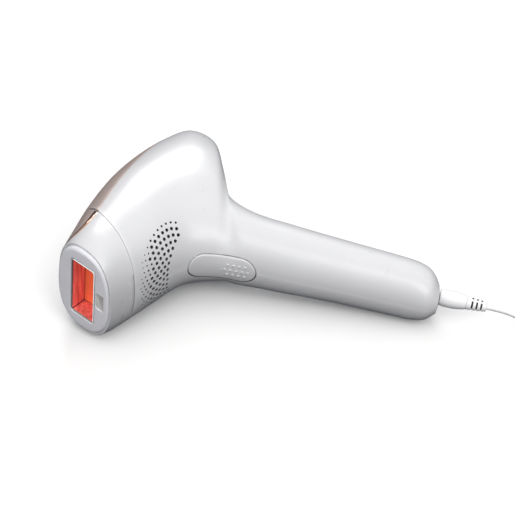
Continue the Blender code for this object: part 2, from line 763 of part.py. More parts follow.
press_button("power_button", 25.5, 5.2, PEARL)
press_button("select_button", 13.5, 3.4, PEARL)
level_places = [(5.5 + 0.7 * abs(i - 2) ** 1.5, 2.7 * (i - 2)) for i in range(5)]
level_places.append((33.4, 0.0))
level_names = [f"level_light_{i}" for i in range(1, 6)] + ["ready_light"]
level_holes = []
for name, (distance, across) in zip(level_names, level_places):
    pad = panel_pad(distance, across)
    place, normal = pad.to_translation(), pad.to_3x3() @ Vector((0, 0, 1))
    rod(name, place - 2.6 * normal, place + 0.1 * normal, 1.0, CLEAR, device, sides=10)
    level_holes.append(rod_mesh("hole", place - 4 * normal, place + 4 * normal, 1.0 + GAP, 10))
cut(control_panel, add("level_holes", joined("level_holes", *level_holes), None, device, cutters))

board_pad = pad_frame(edge_station(0, PANEL_START + PANEL_LENGTH / 2, 6.0), 0, 10.5)
control_board_axis = empty(
    "control_board_axis", device, Matrix.Translation(board_pad.to_translation() * MM) @ board_pad.to_3x3().to_4x4(),
)
box("control_board", (-9, -11, -0.8), (9, 11, 0.8), BOARD, control_board_axis)


# ---------------------------------------------------------------- power electronics

rod("main_capacitor", (-8, 96, -25), (-8, 96, 25), 13, BLACK, device, sides=32)
BOARD_TOP, BOARD_LOW = -2.4, -4.0
main_board = box("main_board", (-48, -11.7, BOARD_LOW), (4, 11.7, BOARD_TOP), BOARD, handle_axis)
transformer = box("transformer", (-19, -7.5, BOARD_TOP + GAP), (-5, 7.5, 8.5), GREY, handle_axis)
bevel(transformer, 0.8, 1)
rod("filter_capacitor", (-45, 0, 3.2), (-29, 0, 3.2), 5.2, BLACK, handle_axis, sides=20)
STANDOFFS = (-24.0, -1.0)
standoffs = [rod_mesh("standoff", (x, 0, -17.2), (x, 0, BOARD_LOW - GAP), 3.2, 16) for x in STANDOFFS]
pilots = [rod_mesh("pilot", (x, 0, -13), (x, 0, 4), 1.3, 12) for x in STANDOFFS]
board_standoffs = add("board_standoffs", joined("board_standoffs", *standoffs), None, handle_axis, cutters)
board_pilots = add("board_pilots", joined("board_pilots", *pilots), None, handle_axis, cutters)
cut(right_shell, board_standoffs, operation="UNION")
cut(right_shell, board_pilots)
cut(main_board, board_pilots)
for number, x in enumerate(STANDOFFS, 1):
    screw = rod(f"board_screw_{number}", (x, 0, -12.4), (x, 0, -0.9), 1.0, STEEL, handle_axis, sides=12)
    head = rod(f"screw_head_{number}", (x, 0, BOARD_TOP + GAP), (x, 0, -0.5), 2.2, None, handle_axis, cutters, 16)
    cut(screw, head, operation="UNION")


# ---------------------------------------------------------------- socket, plug and lead


def turned(name, profile, finish, parent, place, collection=parts, steps=24):
    """A profile of (radius, height) turned about z, then laid along x from a place."""
    bm = bmesh.new()
    verts = [bm.verts.new((r * MM, 0, h * MM)) for r, h in profile]
    for a, b in zip(verts, verts[1:]):
        bm.edges.new((a, b))
    mesh = bpy.data.meshes.new(name)
    bm.to_mesh(mesh)
    bm.free()
    made = add(name, mesh, finish, parent, collection)
    made.matrix_local = Matrix.Translation(Vector(place) * MM) @ Matrix.Rotation(math.pi / 2, 4, "Y")
    screw = made.modifiers.new("turn", "SCREW")
    screw.steps = screw.render_steps = steps
    screw.use_merge_vertices = True
    screw.merge_threshold = 0.0001
    return made


BARREL = 9.5
power_socket = rod("power_socket", (-13, 0, 0), (-0.6, 0, 0), 6.0, BLACK, socket_axis, sides=28)
barrel_bore = rod("barrel_bore", (-BARREL - 1, 0, 0), (4, 0, 0), 2.8, None, socket_axis, cutters, 16)
cut(power_socket, barrel_bore)
rod("socket_pin", (-BARREL - 0.7, 0, 0), (-2, 0, 0), 0.7, STEEL, socket_axis, sides=8)

PLUG_LONG, RELIEF_LONG = 15.2, 11.0
plug_profile = [
    (0, PLUG_LONG), (2.2, PLUG_LONG), (3.9, PLUG_LONG - 0.4), (4.6, PLUG_LONG - 4), (5.0, PLUG_LONG - 7),
    (4.9, 3), (4.5, 0.4), (2.5, 0.4), (2.5, -BARREL + 0.2), (0, -BARREL + 0.2),
]
plug = turned("plug", plug_profile, CABLE, socket_axis, (0.3, 0, 0))
pin_bore = rod("pin_bore", (-BARREL - 3, 0, 0), (0, 0, 0), 1.15, None, socket_axis, cutters, 12)
cut(plug, pin_bore)
relief_start = PLUG_LONG + 2 * GAP
relief_profile = [
    (0, RELIEF_LONG), (1.9, RELIEF_LONG), (2.2, RELIEF_LONG - 0.4), (3.7, 0.4), (3.4, 0), (0, 0),
]
relief = turned("strain_relief", relief_profile, CABLE, socket_axis, (relief_start, 0, 0), steps=20)
slots = []
for i in range(3):
    x = relief_start + 2.4 + 2.4 * i
    for side in (1, -1):
        low, high = sorted((side * 1.9, side * 5))
        slots.append(box_mesh("slot", (x, -5, low), (x + 0.9, 5, high)))
relief_slots = add("relief_slots", joined("relief_slots", *slots), None, socket_axis, cutters)
cut(relief, relief_slots)

# The lead's route from the strain relief down to the table and on to its coil, and from the coil to
# the adapter, in world millimetres. It leaves the strain relief along the plug's axis.
relief_end = relief_start + RELIEF_LONG + GAP


def along_plug(x):
    return lay_down @ socket_frame @ Vector((x * MM, 0, 0)) / MM


CORD_ROUTE = (
    along_plug(relief_end), along_plug(relief_end + 4.5), (127.5, 80.5, 11.0), (136.3, 83.3, 8.2),
    (145.6, 85.1, 4.6), (154.8, 86.1, 2.2), (163.6, 86.45, 1.75), (168.5, 86.5, 1.75),
)
TAIL_ROUTE = (
    (208.2, 48, 1.75), (207.3, 38, 1.75), (208.8, 27.5, 2.2), (214.5, 19.8, 3.5), (222.5, 18.2, 5.6),
    (229, 22.8, 7.8), (231.6, 28.5, 8.8), (232, 32.4, 9.0),
)
COIL_INNER, COIL_OUTER, COIL_HIGH = 12.6, 25.4, 13.0
ADAPTER_AT, ADAPTER_FROM = (232.0, 44.0), 32.8
ADAPTER_SIZE, ADAPTER_EXIT = (28.0, 66.0, 40.0), 9.0
PIN_LONG, PIN_WIDE, PIN_THICK, PIN_APART = 16.0, 6.3, 1.5, 12.7


def smooth_route(points, count):
    """Evenly spaced points on a smooth curve through the route's points."""
    places = [Vector(p) for p in points]
    last = len(places) - 1
    dense = []
    for i in range(last):
        a, b, c, d = (places[min(max(k, 0), last)] for k in range(i - 1, i + 3))
        for t in (j / 20 for j in range(20)):
            bend = (2 * a - 5 * b + 4 * c - d) * t**2 + (3 * b - a - 3 * c + d) * t**3
            dense.append(0.5 * (2 * b + (c - a) * t + bend))
    dense.append(places[-1])
    lengths = [0.0]
    for a, b in zip(dense, dense[1:]):
        lengths.append(lengths[-1] + (b - a).length)
    marks = [lengths[-1] * i / (count - 1) for i in range(count)]
    return [Vector([float(np.interp(m, lengths, [p[k] for p in dense])) for k in range(3)]) for m in marks]


wire("cord", smooth_route(CORD_ROUTE, 12), CORD_D, CABLE, None)
wire("cord_tail", smooth_route(TAIL_ROUTE, 12), CORD_D, CABLE, None)

coil_place = Matrix.Translation(Vector((*COIL_AT, 0.15)) * MM)
coil_profile = [
    (COIL_OUTER - 2, COIL_HIGH), (COIL_OUTER, COIL_HIGH - 2), (COIL_OUTER, 1.5), (COIL_OUTER - 1.5, 0),
    (COIL_INNER + 1.5, 0), (COIL_INNER, 1.5), (COIL_INNER, COIL_HIGH - 2), (COIL_INNER + 2, COIL_HIGH),
    (COIL_OUTER - 2, COIL_HIGH),
]
cord_coil = turned("cord_coil", coil_profile, CABLE, None, (0, 0, 0), steps=32)
cord_coil.matrix_local = coil_place

across_x, long_y, high_z = ADAPTER_SIZE
adapter_body = box(
    "adapter_body", (ADAPTER_AT[0] - across_x / 2, ADAPTER_AT[1], 0.1),
    (ADAPTER_AT[0] + across_x / 2, ADAPTER_AT[1] + long_y, high_z), CABLE, None,
)
bevel(adapter_body, 3, 3)
adapter_relief = turned(
    "adapter_relief",
    [(0, 11), (3.9, 11), (3.7, 10.4), (2.2, 0.4), (1.9, 0), (0, 0)], CABLE, None, (0, 0, 0), steps=20,
)
adapter_relief.matrix_local = (
    Matrix.Translation(Vector((ADAPTER_AT[0], ADAPTER_FROM - 0.1, ADAPTER_EXIT)) * MM)
    @ Matrix.Rotation(-math.pi / 2, 4, "X")
)
pin_middle = ADAPTER_AT[1] + long_y - 18
for number, y in enumerate((pin_middle - PIN_APART / 2, pin_middle + PIN_APART / 2), 1):
    start = ADAPTER_AT[0] + across_x / 2 + GAP
    pin = box(
        f"adapter_pin_{number}", (start, y - PIN_THICK / 2, high_z / 2 - PIN_WIDE / 2),
        (start + PIN_LONG, y + PIN_THICK / 2, high_z / 2 + PIN_WIDE / 2), STEEL, None,
    )
    bevel(pin, 0.5, 1)
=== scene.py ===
"""The looks of the pulsed-light hair remover: its camera, lead, fine casing, trims, window and materials.

The casing is rebuilt finely on the same sections as the CAD model. Lengths in the section code are
millimetres in the device's own frame: x towards the end of the handle, y towards the rear of the head,
z its left side. place() lays them on the table, in the row frame, in metres.
"""

import math

import bmesh
import bpy
import numpy as np
from mathutils import Matrix, Vector


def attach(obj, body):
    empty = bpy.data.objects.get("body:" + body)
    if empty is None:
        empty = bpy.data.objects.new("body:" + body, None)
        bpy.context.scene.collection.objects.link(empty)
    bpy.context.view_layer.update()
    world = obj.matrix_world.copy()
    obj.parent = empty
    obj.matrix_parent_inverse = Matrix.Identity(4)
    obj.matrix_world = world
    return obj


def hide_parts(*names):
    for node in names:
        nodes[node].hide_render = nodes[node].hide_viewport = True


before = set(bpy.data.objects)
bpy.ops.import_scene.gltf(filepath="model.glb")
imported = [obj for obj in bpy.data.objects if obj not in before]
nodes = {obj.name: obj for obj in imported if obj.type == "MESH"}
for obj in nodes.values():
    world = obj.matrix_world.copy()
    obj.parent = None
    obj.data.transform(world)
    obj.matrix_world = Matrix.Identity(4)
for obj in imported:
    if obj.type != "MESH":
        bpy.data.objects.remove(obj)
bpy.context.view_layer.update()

MM = 0.001
scene = bpy.context.scene

# The casing's sections and the device's place, as in the CAD model.
SECTIONS = np.array((
    (19.8, -0.8, -19.2, -0.2, 28.8, 2.5),
    (21.2, 6.5, -24.5, 13.8, 32.4, 2.4),
    (23.9, 20, -35, 38.3, 33, 2.3),
    (25.5, 34, -43, 65.3, 33.5, 2.3),
    (26.6, 45, -46.5, 91, 33.5, 2.25),
    (28.8, 52.6, -46, 114, 33.5, 2.2),
    (33, 59.3, -40.5, 132.8, 33.2, 2.2),
    (38.7, 64.4, -24, 136.1, 31, 2.15),
    (44.5, 68, -8, 124, 25.8, 2.1),
    (51.5, 72.2, 8.7, 106, 23.7, 2.1),
    (61.5, 77.8, 30, 105.3, 21.5, 2.05),
    (74.7, 84.3, 55.2, 115, 20, 2.05),
    (97.5, 96.5, 85, 127.4, 18.5, 2.05),
    (126.5, 110.9, 116.5, 140.2, 17.6, 2.05),
    (136, 115.3, 127.2, 143, 16.8, 2.05),
    (144, 120, 132.8, 142.6, 13.8, 2.05),
    (147.4, 125.6, 137.8, 140.2, 8.5, 2.0),
), float)
END = len(SECTIONS) - 1
SEAM, SEAM_GAP = 1.76, 0.02
WALL = 2.4
TILT, LIFT = 6.9, 32.87
CENTRE_X, CENTRE_Y = 49.9, 72.3
SOCKET_AT, SOCKET_ANGLE = (142.7, 135.0), 27.0

lay_down = (
    Matrix.Translation(Vector((-CENTRE_X, -CENTRE_Y, LIFT)) * MM)
    @ Matrix.Rotation(math.radians(TILT), 4, "Y")
)
socket_frame = lay_down @ (
    Matrix.Translation(Vector((*SOCKET_AT, 0)) * MM)
    @ Matrix.Rotation(math.radians(SOCKET_ANGLE), 4, "Z")
)


# ---------------------------------------------------------------- camera

camera = bpy.data.objects.new("camera", bpy.data.cameras.new("camera"))
scene.collection.objects.link(camera)
scene.camera = camera
camera.data.sensor_width = 36.0
camera.data.lens = 106.95
camera.data.clip_start, camera.data.clip_end = 0.05, 20.0
camera.location = (0.41979, -0.50220, 0.56622)
VIEW_AXIS = Vector((-0.4891, 0.6040, -0.6293))
camera.rotation_mode = "QUATERNION"
camera.rotation_quaternion = VIEW_AXIS.to_track_quat("-Z", "Y")


# ---------------------------------------------------------------- the lead

CORD_D = 3.2
PLUG_LONG, RELIEF_LONG = 15.2, 11.0
RELIEF_START = PLUG_LONG + 0.6
RELIEF_END = RELIEF_START + RELIEF_LONG + 0.3
COIL_AT, COIL_TURNS, PER_TURN = (182.0, 62.0), 13.86, 24
COIL_OUT, COIL_IN = 23.8, 14.2
BESIDE_COIL = COIL_OUT + CORD_D + 0.3
LYING = 1.75
TURNS_PER_LAYER = 4.0


def along_plug(x):
    return tuple(socket_frame @ Vector((x * MM, 0, 0)) / MM)


def coil_place(turn):
    """A point of the lead after so many turns of its coil, wound in and out in layers, in millimetres."""
    layer, within = divmod(turn, TURNS_PER_LAYER)
    inwards = layer % 2 == 0
    if within <= TURNS_PER_LAYER - 1:
        radius = COIL_OUT - CORD_D * within if inwards else COIL_IN + CORD_D * within
        height = LYING + CORD_D * layer
    else:
        share = within - (TURNS_PER_LAYER - 1)
        swing = share * math.pi / 2
        step = CORD_D * (share + math.cos(swing) - 1)
        radius = COIL_IN - step if inwards else COIL_OUT + step
        height = LYING + CORD_D * (layer + math.sin(swing))
    around = math.pi / 2 - 2 * math.pi * turn
    return (COIL_AT[0] + radius * math.cos(around), COIL_AT[1] + radius * math.sin(around), height)


def leaving_coil(count):
    """The lead's way from the top of the coil over its side and down to the table."""
    last = coil_place(COIL_TURNS)
    first_radius = math.hypot(last[0] - COIL_AT[0], last[1] - COIL_AT[1])
    start = math.atan2(last[1] - COIL_AT[1], last[0] - COIL_AT[0])
    made = []
    for i in range(1, count + 1):
        share = i / count
        ease = share * share * (3 - 2 * share)
        radius = first_radius + (BESIDE_COIL - first_radius) * min(1, 2.2 * share) ** 0.8
        around = start * (1 - share)
        drop = min(1, max(0, (share - 0.2) / 0.8))
        height = last[2] + (LYING - last[2]) * drop * drop * (3 - 2 * drop)
        made.append((COIL_AT[0] + radius * math.cos(around), COIL_AT[1] + radius * math.sin(around), height))
    return made


def smooth_line(places, spacing):
    """Evenly spaced points, in metres, on a smooth curve through places given in millimetres."""
    places = np.array(places, float)
    last = len(places) - 1
    dense = []
    for i in range(last):
        a, b, c, d = (places[min(max(k, 0), last)] for k in range(i - 1, i + 3))
        for t in np.arange(12) / 12:
            bend = (2 * a - 5 * b + 4 * c - d) * t**2 + (3 * b - a - 3 * c + d) * t**3
            dense.append(0.5 * (2 * b + (c - a) * t + bend))
    dense = np.array([*dense, places[-1]])
    lengths = np.concatenate([[0], np.cumsum(np.linalg.norm(np.diff(dense, axis=0), axis=1))])
    marks = np.linspace(0, lengths[-1], int(lengths[-1] / spacing) + 2)
    return np.stack([np.interp(marks, lengths, dense[:, k]) for k in range(3)], axis=1) * MM


cord_exit = along_plug(RELIEF_END)
to_coil = [
    along_plug(RELIEF_END - 1.5), cord_exit, along_plug(RELIEF_END + 4.5), (127.5, 80.5, 11.0),
    (136.3, 83.3, 8.2), (145.6, 85.1, 4.6), (154.8, 86.1, 2.2), (163.6, 86.45, LYING), (168.5, 86.5, LYING),
    (175.0, 86.3, LYING),
]
coil = [coil_place(i / PER_TURN) for i in range(int(COIL_TURNS * PER_TURN) + 1)]
to_adapter = [
    (208.4, 50.0, LYING), (207.9, 38.0, LYING), (208.8, 27.5, 2.2), (214.5, 19.8, 3.5), (222.5, 18.2, 5.6),
    (229.0, 22.8, 7.8), (231.6, 28.5, 8.8), (232.0, 32.4, 9.0), (232.0, 34.0, 9.0),
]
lead_points = smooth_line(to_coil + coil + leaving_coil(10) + to_adapter, CORD_D)
lead_curve = bpy.data.curves.new("lead", "CURVE")
lead_curve.dimensions = "3D"
lead_curve.bevel_depth = 1.0
lead_curve.bevel_resolution = 4
lead_curve.use_fill_caps = True
lead_line = lead_curve.splines.new("POLY")
lead_line.points.add(len(lead_points) - 1)
for point, spot in zip(lead_line.points, lead_points):
    point.co = (*spot, 1)
    point.radius = CORD_D / 2 * MM
lead = bpy.data.objects.new("lead", lead_curve)
scene.collection.objects.link(lead)
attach(lead, "casing")
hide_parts("cord", "cord_tail", "cord_coil")


# ---------------------------------------------------------------- materials

RANGE_SOCKETS = ("From Min", "From Max", "To Min", "To Max")


def finish(
    name, colour, roughness, metallic=0.0, drift=0.02, drift_size=60, rough_drift=0.06, grain=0.02,
    grain_size=2500, wear=0.05, coat=0.0, specular=0.5, second=None, stretch=None, glow=0.0,
):
    """A moulded or plated surface: its colour and gloss drift a little, with a fine grain and paler edges."""
    made = bpy.data.materials.new(name)
    made.use_nodes = True
    tree = made.node_tree
    link = tree.links.new
    shader = tree.nodes["Principled BSDF"]
    shader.inputs["Metallic"].default_value = metallic
    shader.inputs["Specular IOR Level"].default_value = specular
    shader.inputs["Coat Weight"].default_value = coat
    shader.inputs["Coat Roughness"].default_value = 0.12
    shader.inputs["Emission Color"].default_value = (*colour, 1)
    shader.inputs["Emission Strength"].default_value = glow
    where = tree.nodes.new("ShaderNodeTexCoord").outputs["Object"]
    if stretch:
        scaled = tree.nodes.new("ShaderNodeMapping")
        scaled.inputs["Scale"].default_value = stretch
        link(where, scaled.inputs["Vector"])
        where = scaled.outputs["Vector"]

    def noise(scale, detail, roughen=0.5):
        node = tree.nodes.new("ShaderNodeTexNoise")
        node.inputs["Scale"].default_value = scale
        node.inputs["Detail"].default_value = detail
        node.inputs["Roughness"].default_value = roughen
        link(where, node.inputs["Vector"])
        return node.outputs["Fac"]

    def ramp(source, low, high, out_low, out_high):
        node = tree.nodes.new("ShaderNodeMapRange")
        for socket, value in zip(RANGE_SOCKETS, (low, high, out_low, out_high)):
            node.inputs[socket].default_value = value
        link(source, node.inputs["Value"])
        return node.outputs["Result"]

    def mix(share, first, other):
        node = tree.nodes.new("ShaderNodeMix")
        node.data_type = "RGBA"
        link(share, node.inputs["Factor"])
        for socket, value in ((node.inputs["A"], first), (node.inputs["B"], other)):
            if isinstance(value, tuple):
                socket.default_value = (*value, 1)
            else:
                link(value, socket)
        return node.outputs["Result"]

    dark = tuple(c * (1 - drift) for c in (second or colour))
    light = tuple(min(1, c * (1 + drift)) for c in colour)
    cloudy = mix(ramp(noise(drift_size, 3), 0.35, 0.65, 0, 1), dark, light)
    speck = ramp(noise(grain_size, 2, 0.7), 0.62, 0.75, 0, 1)
    speckled = mix(speck, cloudy, tuple(min(1, c * (1 + 2.5 * drift)) for c in colour))
    edges = tree.nodes.new("ShaderNodeNewGeometry").outputs["Pointiness"]
    worn = mix(ramp(edges, 0.52, 0.6, 0, wear), speckled, tuple(c + (1 - c) * 0.5 for c in colour))
    link(worn, shader.inputs["Base Color"])
    gloss = tree.nodes.new("ShaderNodeMath")
    gloss.operation = "ADD"
    smears = noise(drift_size * 1.7, 4)
    link(ramp(smears, 0.3, 0.7, roughness - rough_drift, roughness + rough_drift), gloss.inputs[0])
    link(ramp(speck, 0, 1, 0, 0.05), gloss.inputs[1])
    link(gloss.outputs[0], shader.inputs["Roughness"])
    bump = tree.nodes.new("ShaderNodeBump")
    bump.inputs["Strength"].default_value = grain
    bump.inputs["Distance"].default_value = 0.0002
    link(noise(grain_size * 0.6, 3, 0.6), bump.inputs["Height"])
    link(bump.outputs["Normal"], shader.inputs["Normal"])
    return made


PEARL = finish(
    "pearl_plastic", (0.60, 0.60, 0.615), 0.30, coat=0.12, grain=0.05, drift=0.012, rough_drift=0.03,
    wear=0.3,
)
LILAC = finish("lilac_plastic", (0.76, 0.76, 0.80), 0.42, grain=0.08, drift=0.02, rough_drift=0.04, wear=0.4)
ROSE = finish(
    "rose_trim", (0.52, 0.42, 0.385), 0.4, metallic=0.35, grain=0.12, drift=0.03, grain_size=4200, wear=0.4,
)
COPPER = finish("polished_rose", (0.82, 0.52, 0.40), 0.14, metallic=1.0, grain=0.02, drift=0.04, wear=0.2)
# The window rim in two copies: a dark one that is painted shade and a pale, glowing one that is a painted
# highlight.
RIM_PAINTED_SHADE = finish("window_rim_painted_shade", (0.16, 0.20, 0.195), 0.25, metallic=0.7, grain=0.03, drift=0.05, wear=0.6)
RIM_PAINTED_HIGHLIGHT = finish("window_rim_painted_highlight", (0.80, 0.90, 0.90), 0.25, grain=0.03, drift=0.02, wear=0.3, glow=0.3)
# The window's red walls glow a little, which is painted light; their colour is streaked darker and lighter
# along their height.
RED_WALL_PAINTED_GLOW = finish(
    "window_wall_painted_glow", (0.86, 0.20, 0.165), 0.22, metallic=0.4, drift=0.25, drift_size=520, rough_drift=0.08,
    grain=0.03, wear=0.1, second=(0.72, 0.10, 0.085), stretch=(1, 1, 0.05), glow=0.12,
)
# A near-black red for one inner corner of the window: painted shade.
RED_CORNER_PAINTED_SHADE = finish("window_corner_painted_shade", (0.10, 0.012, 0.03), 0.3, drift=0.2, drift_size=200, grain=0.03)
STEEL = finish("steel", (0.58, 0.58, 0.6), 0.28, metallic=1.0, drift=0.05, grain=0.1, grain_size=1500)
BRIGHT = finish("bright_metal", (0.86, 0.85, 0.85), 0.12, metallic=1.0, drift=0.02, grain=0.03)
ALUMINIUM = finish("aluminium", (0.72, 0.73, 0.75), 0.34, metallic=1.0, drift=0.04, grain=0.2, grain_size=900)
BLACK = finish("black_plastic", (0.028, 0.028, 0.032), 0.45, drift=0.12, grain=0.3, wear=0.15)
GREY = finish("grey_plastic", (0.42, 0.42, 0.45), 0.45, drift=0.04, grain=0.25)
CABLE = finish("cable_white", (0.78, 0.78, 0.79), 0.42, drift=0.02, grain=0.15, rough_drift=0.05, wear=0.3)
ADAPTER = finish(
    "adapter_plastic", (0.76, 0.76, 0.77), 0.36, drift=0.02, grain=0.35, grain_size=1800, wear=0.4,
)
BOARD = finish("circuit_board", (0.02, 0.15, 0.07), 0.35, drift=0.25, drift_size=420, grain=0.2, coat=0.3)
SLEEVE = finish("capacitor_sleeve", (0.03, 0.035, 0.06), 0.3, drift=0.1, grain=0.1, coat=0.2)
# Dark walls for the strain relief's grooves: painted shade.
GROOVE_PAINTED_SHADE = finish("groove_painted_shade", (0.05, 0.05, 0.055), 0.6, drift=0.1, grain=0.2)
# Dark walls for the air inlets and the trigger's gap: painted shade in the holes.
HOLE_PAINTED_SHADE = finish("hole_painted_shade", (0.09, 0.09, 0.10), 0.5, drift=0.1, grain=0.1, wear=0.0)
ICON = finish("icon_grey", (0.30, 0.30, 0.33), 0.4, drift=0.05, grain=0.05)


def glass(name, colour, roughness, transmission, glow=0.0):
    """Tinted glass or clear moulding with faint smears."""
    made = finish(
        name, colour, roughness, drift=0.06, drift_size=120, rough_drift=min(0.03, roughness), wear=0.0,
        grain=0.01,
    )
    shader = made.node_tree.nodes["Principled BSDF"]
    shader.inputs["Transmission Weight"].default_value = transmission
    shader.inputs["IOR"].default_value = 1.5
    shader.inputs["Emission Color"].default_value = (*colour, 1)
    shader.inputs["Emission Strength"].default_value = glow
    return made


# The red filter glass glows a little: painted light, since it is no lamp.
RED_GLASS_PAINTED_GLOW = glass("red_glass", (0.92, 0.17, 0.07), 0.12, 0.0, glow=0.18)
CLEAR = glass("clear_glass", (0.62, 0.62, 0.62), 0.08, 0.25)
# The skin sensor's glass in two copies: a dark one that is painted shade and a pale one that is a painted
# highlight.
SENSOR_PAINTED_SHADE = glass("sensor_painted_shade", (0.44, 0.43, 0.42), 0.12, 0.0)
SENSOR_PAINTED_HIGHLIGHT = glass("sensor_painted_highlight", (0.74, 0.72, 0.69), 0.18, 0.0)
LIGHT_LENS = glass("light_lens", (0.70, 0.72, 0.72), 0.15, 0.1)


# ---------------------------------------------------------------- helpers


def place(points, matrix=lay_down):
    """Millimetres in the device's frame, or in another one, to row metres, for an array of points."""
    matrix = np.array(matrix)
    return np.asarray(points, float) * MM @ matrix[:3, :3].T + matrix[:3, 3]


def piece_of(name, mesh, *materials):
    made = bpy.data.objects.new(name, mesh)
    scene.collection.objects.link(made)
    for one in materials:
        mesh.materials.append(one)
    return made


def stand_for(piece, node, body):
    """The piece takes the place of a CAD node: it rides on that node's body, and the node is hidden."""
    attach(piece, body)
    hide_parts(node)


def shaded(mesh, angle=32):
    mesh.shade_smooth()
    mesh.set_sharp_from_angle(angle=math.radians(angle))


def from_faces(name, verts, faces, *materials, angle=32):
    """A piece from vertices in row metres and faces, its faces turned outwards."""
    mesh = bpy.data.meshes.new(name)
    mesh.from_pydata([tuple(v) for v in np.asarray(verts)], [], [tuple(f) for f in faces])
    bm = bmesh.new()
    bm.from_mesh(mesh)
    bmesh.ops.remove_doubles(bm, verts=bm.verts, dist=1e-7)
    bmesh.ops.recalc_face_normals(bm, faces=bm.faces)
    bm.to_mesh(mesh)
    bm.free()
    shaded(mesh, angle)
    return piece_of(name, mesh, *materials)


def settle(piece, angle=32):
    """The piece with its modifiers applied."""
    bpy.context.view_layer.update()
    graph = bpy.context.evaluated_depsgraph_get()
    mesh = bpy.data.meshes.new_from_object(piece.evaluated_get(graph))
    piece.modifiers.clear()
    piece.data = mesh
    shaded(mesh, angle)


def carve(piece, *tools, operation="DIFFERENCE"):
    """Booleans with closed helper pieces, which are then removed."""
    for tool in tools:
        made = piece.modifiers.new(tool.name, "BOOLEAN")
        made.operation = operation
        made.solver = "EXACT"
        made.material_mode = "TRANSFER"
        made.object = tool
    settle(piece)
    for tool in tools:
        bpy.data.objects.remove(tool)


def grid_faces(rows, columns, start=0, wrap=False):
    made = []
    for i in range(rows - 1):
        for j in range(columns if wrap else columns - 1):
            k = (j + 1) % columns
            made.append((
                start + i * columns + j, start + i * columns + k,
                start + (i + 1) * columns + k, start + (i + 1) * columns + j,
            ))
    return made


def grid_solid(name, outer, inner, *materials, wrap=False, angle=32):
    """A closed piece between two grids of points in device millimetres, with the same rows and columns."""
    rows, columns = outer.shape[:2]
    start = rows * columns
    faces = grid_faces(rows, columns, 0, wrap) + grid_faces(rows, columns, start, wrap)
    for i in (0, rows - 1):
        for j in range(columns if wrap else columns - 1):
            a, b = i * columns + j, i * columns + (j + 1) % columns
            faces.append((a, b, start + b, start + a))
    if not wrap:
        for j in (0, columns - 1):
            for i in range(rows - 1):
                a, b = i * columns + j, (i + 1) * columns + j
                faces.append((a, b, start + b, start + a))
    verts = place(np.concatenate([outer.reshape(-1, 3), inner.reshape(-1, 3)]))
    return from_faces(name, verts, faces, *materials, angle=angle)


def superellipse(half_x, half_z, roundness, count):
    t = 2 * np.pi * np.arange(count) / count
    power = 2 / roundness
    return np.stack([
        half_x * np.sign(np.cos(t)) * np.abs(np.cos(t)) ** power,
        half_z * np.sign(np.sin(t)) * np.abs(np.sin(t)) ** power,
    ], axis=1)


def soft_rectangle(half_x, half_z, radii, steps=6):
    """A rectangle's outline with its four corner radii, from the +x +z corner round to the +x -z one."""
    made = []
    for (sx, sz), start, radius in zip(((1, 1), (-1, 1), (-1, -1), (1, -1)), (0, 90, 180, 270), radii):
        for i in range(steps + 1):
            turn = math.radians(start + 90 * i / steps)
            x = sx * (half_x - radius) + radius * math.cos(turn)
            z = sz * (half_z - radius) + radius * math.sin(turn)
            made.append((x, z))
    return np.array(made)


def prism(name, outline, low, high, *materials, axis="y", matrix=lay_down, insets=()):
    """An outline pushed from low to high along an axis of the device, or of the frame given as a matrix.

    insets are (share of the way, inset) rings in between, which round its edges.
    """
    outline = np.asarray(outline, float)
    centre = (outline.max(0) + outline.min(0)) / 2
    half = (outline.max(0) - outline.min(0)) / 2
    rings = insets or ((0, 0), (1, 0))
    verts = []
    for share, inset in rings:
        ring = centre + (outline - centre) * (1 - inset / half)
        level = np.full(len(ring), low + (high - low) * share)
        parts = {"y": (ring[:, 0], level, ring[:, 1]), "z": (ring[:, 0], ring[:, 1], level),
                 "x": (level, ring[:, 0], ring[:, 1])}[axis]
        verts.append(np.stack(parts, axis=1))
    verts = np.concatenate(verts)
    count = len(outline)
    faces = grid_faces(len(rings), count, 0, True)
    faces += [tuple(range(count)), tuple(range((len(rings) - 1) * count, len(rings) * count))]
    return from_faces(name, place(verts, matrix), faces, *materials)


def circle(radius, count=32):
    t = 2 * np.pi * np.arange(count) / count
    return radius * np.stack([np.cos(t), np.sin(t)], axis=1)


def turned(name, profile, matrix, *materials, steps=48):
    """A (radius, x) profile turned about the x axis of a frame, closed at the axis."""
    profile = np.asarray(profile, float)
    t = 2 * np.pi * np.arange(steps) / steps
    verts = np.stack([
        np.repeat(profile[:, 1], steps),
        np.outer(profile[:, 0], np.cos(t)).ravel(),
        np.outer(profile[:, 0], np.sin(t)).ravel(),
    ], axis=1)
    faces = grid_faces(len(profile), steps, 0, True)
    faces += [tuple(range(steps)), tuple(range((len(profile) - 1) * steps, len(profile) * steps))]
    return from_faces(name, place(verts, matrix), faces, *materials)


def joined(name, pieces):
    """Several pieces made one, for cutters and sets of small marks."""
    bm = bmesh.new()
    for one in pieces:
        bm.from_mesh(one.data)
    mesh = bpy.data.meshes.new(name)
    bm.to_mesh(mesh)
    bm.free()
    materials = list(pieces[0].data.materials)
    for one in pieces:
        bpy.data.objects.remove(one)
    shaded(mesh)
    return piece_of(name, mesh, *materials)


# ---------------------------------------------------------------- the casing's surface


def sections_at(s):
    s = np.clip(np.asarray(s, float), 0, END)
    i = np.minimum(s.astype(int), END - 1)
    t = (s - i)[..., None]
    a, b, c, d = (SECTIONS[np.clip(i + k, 0, END)] for k in (-1, 0, 1, 2))
    return 0.5 * (2 * b + (c - a) * t + (2 * a - 5 * b + 4 * c - d) * t**2 + (3 * b - a - 3 * c + d) * t**3)


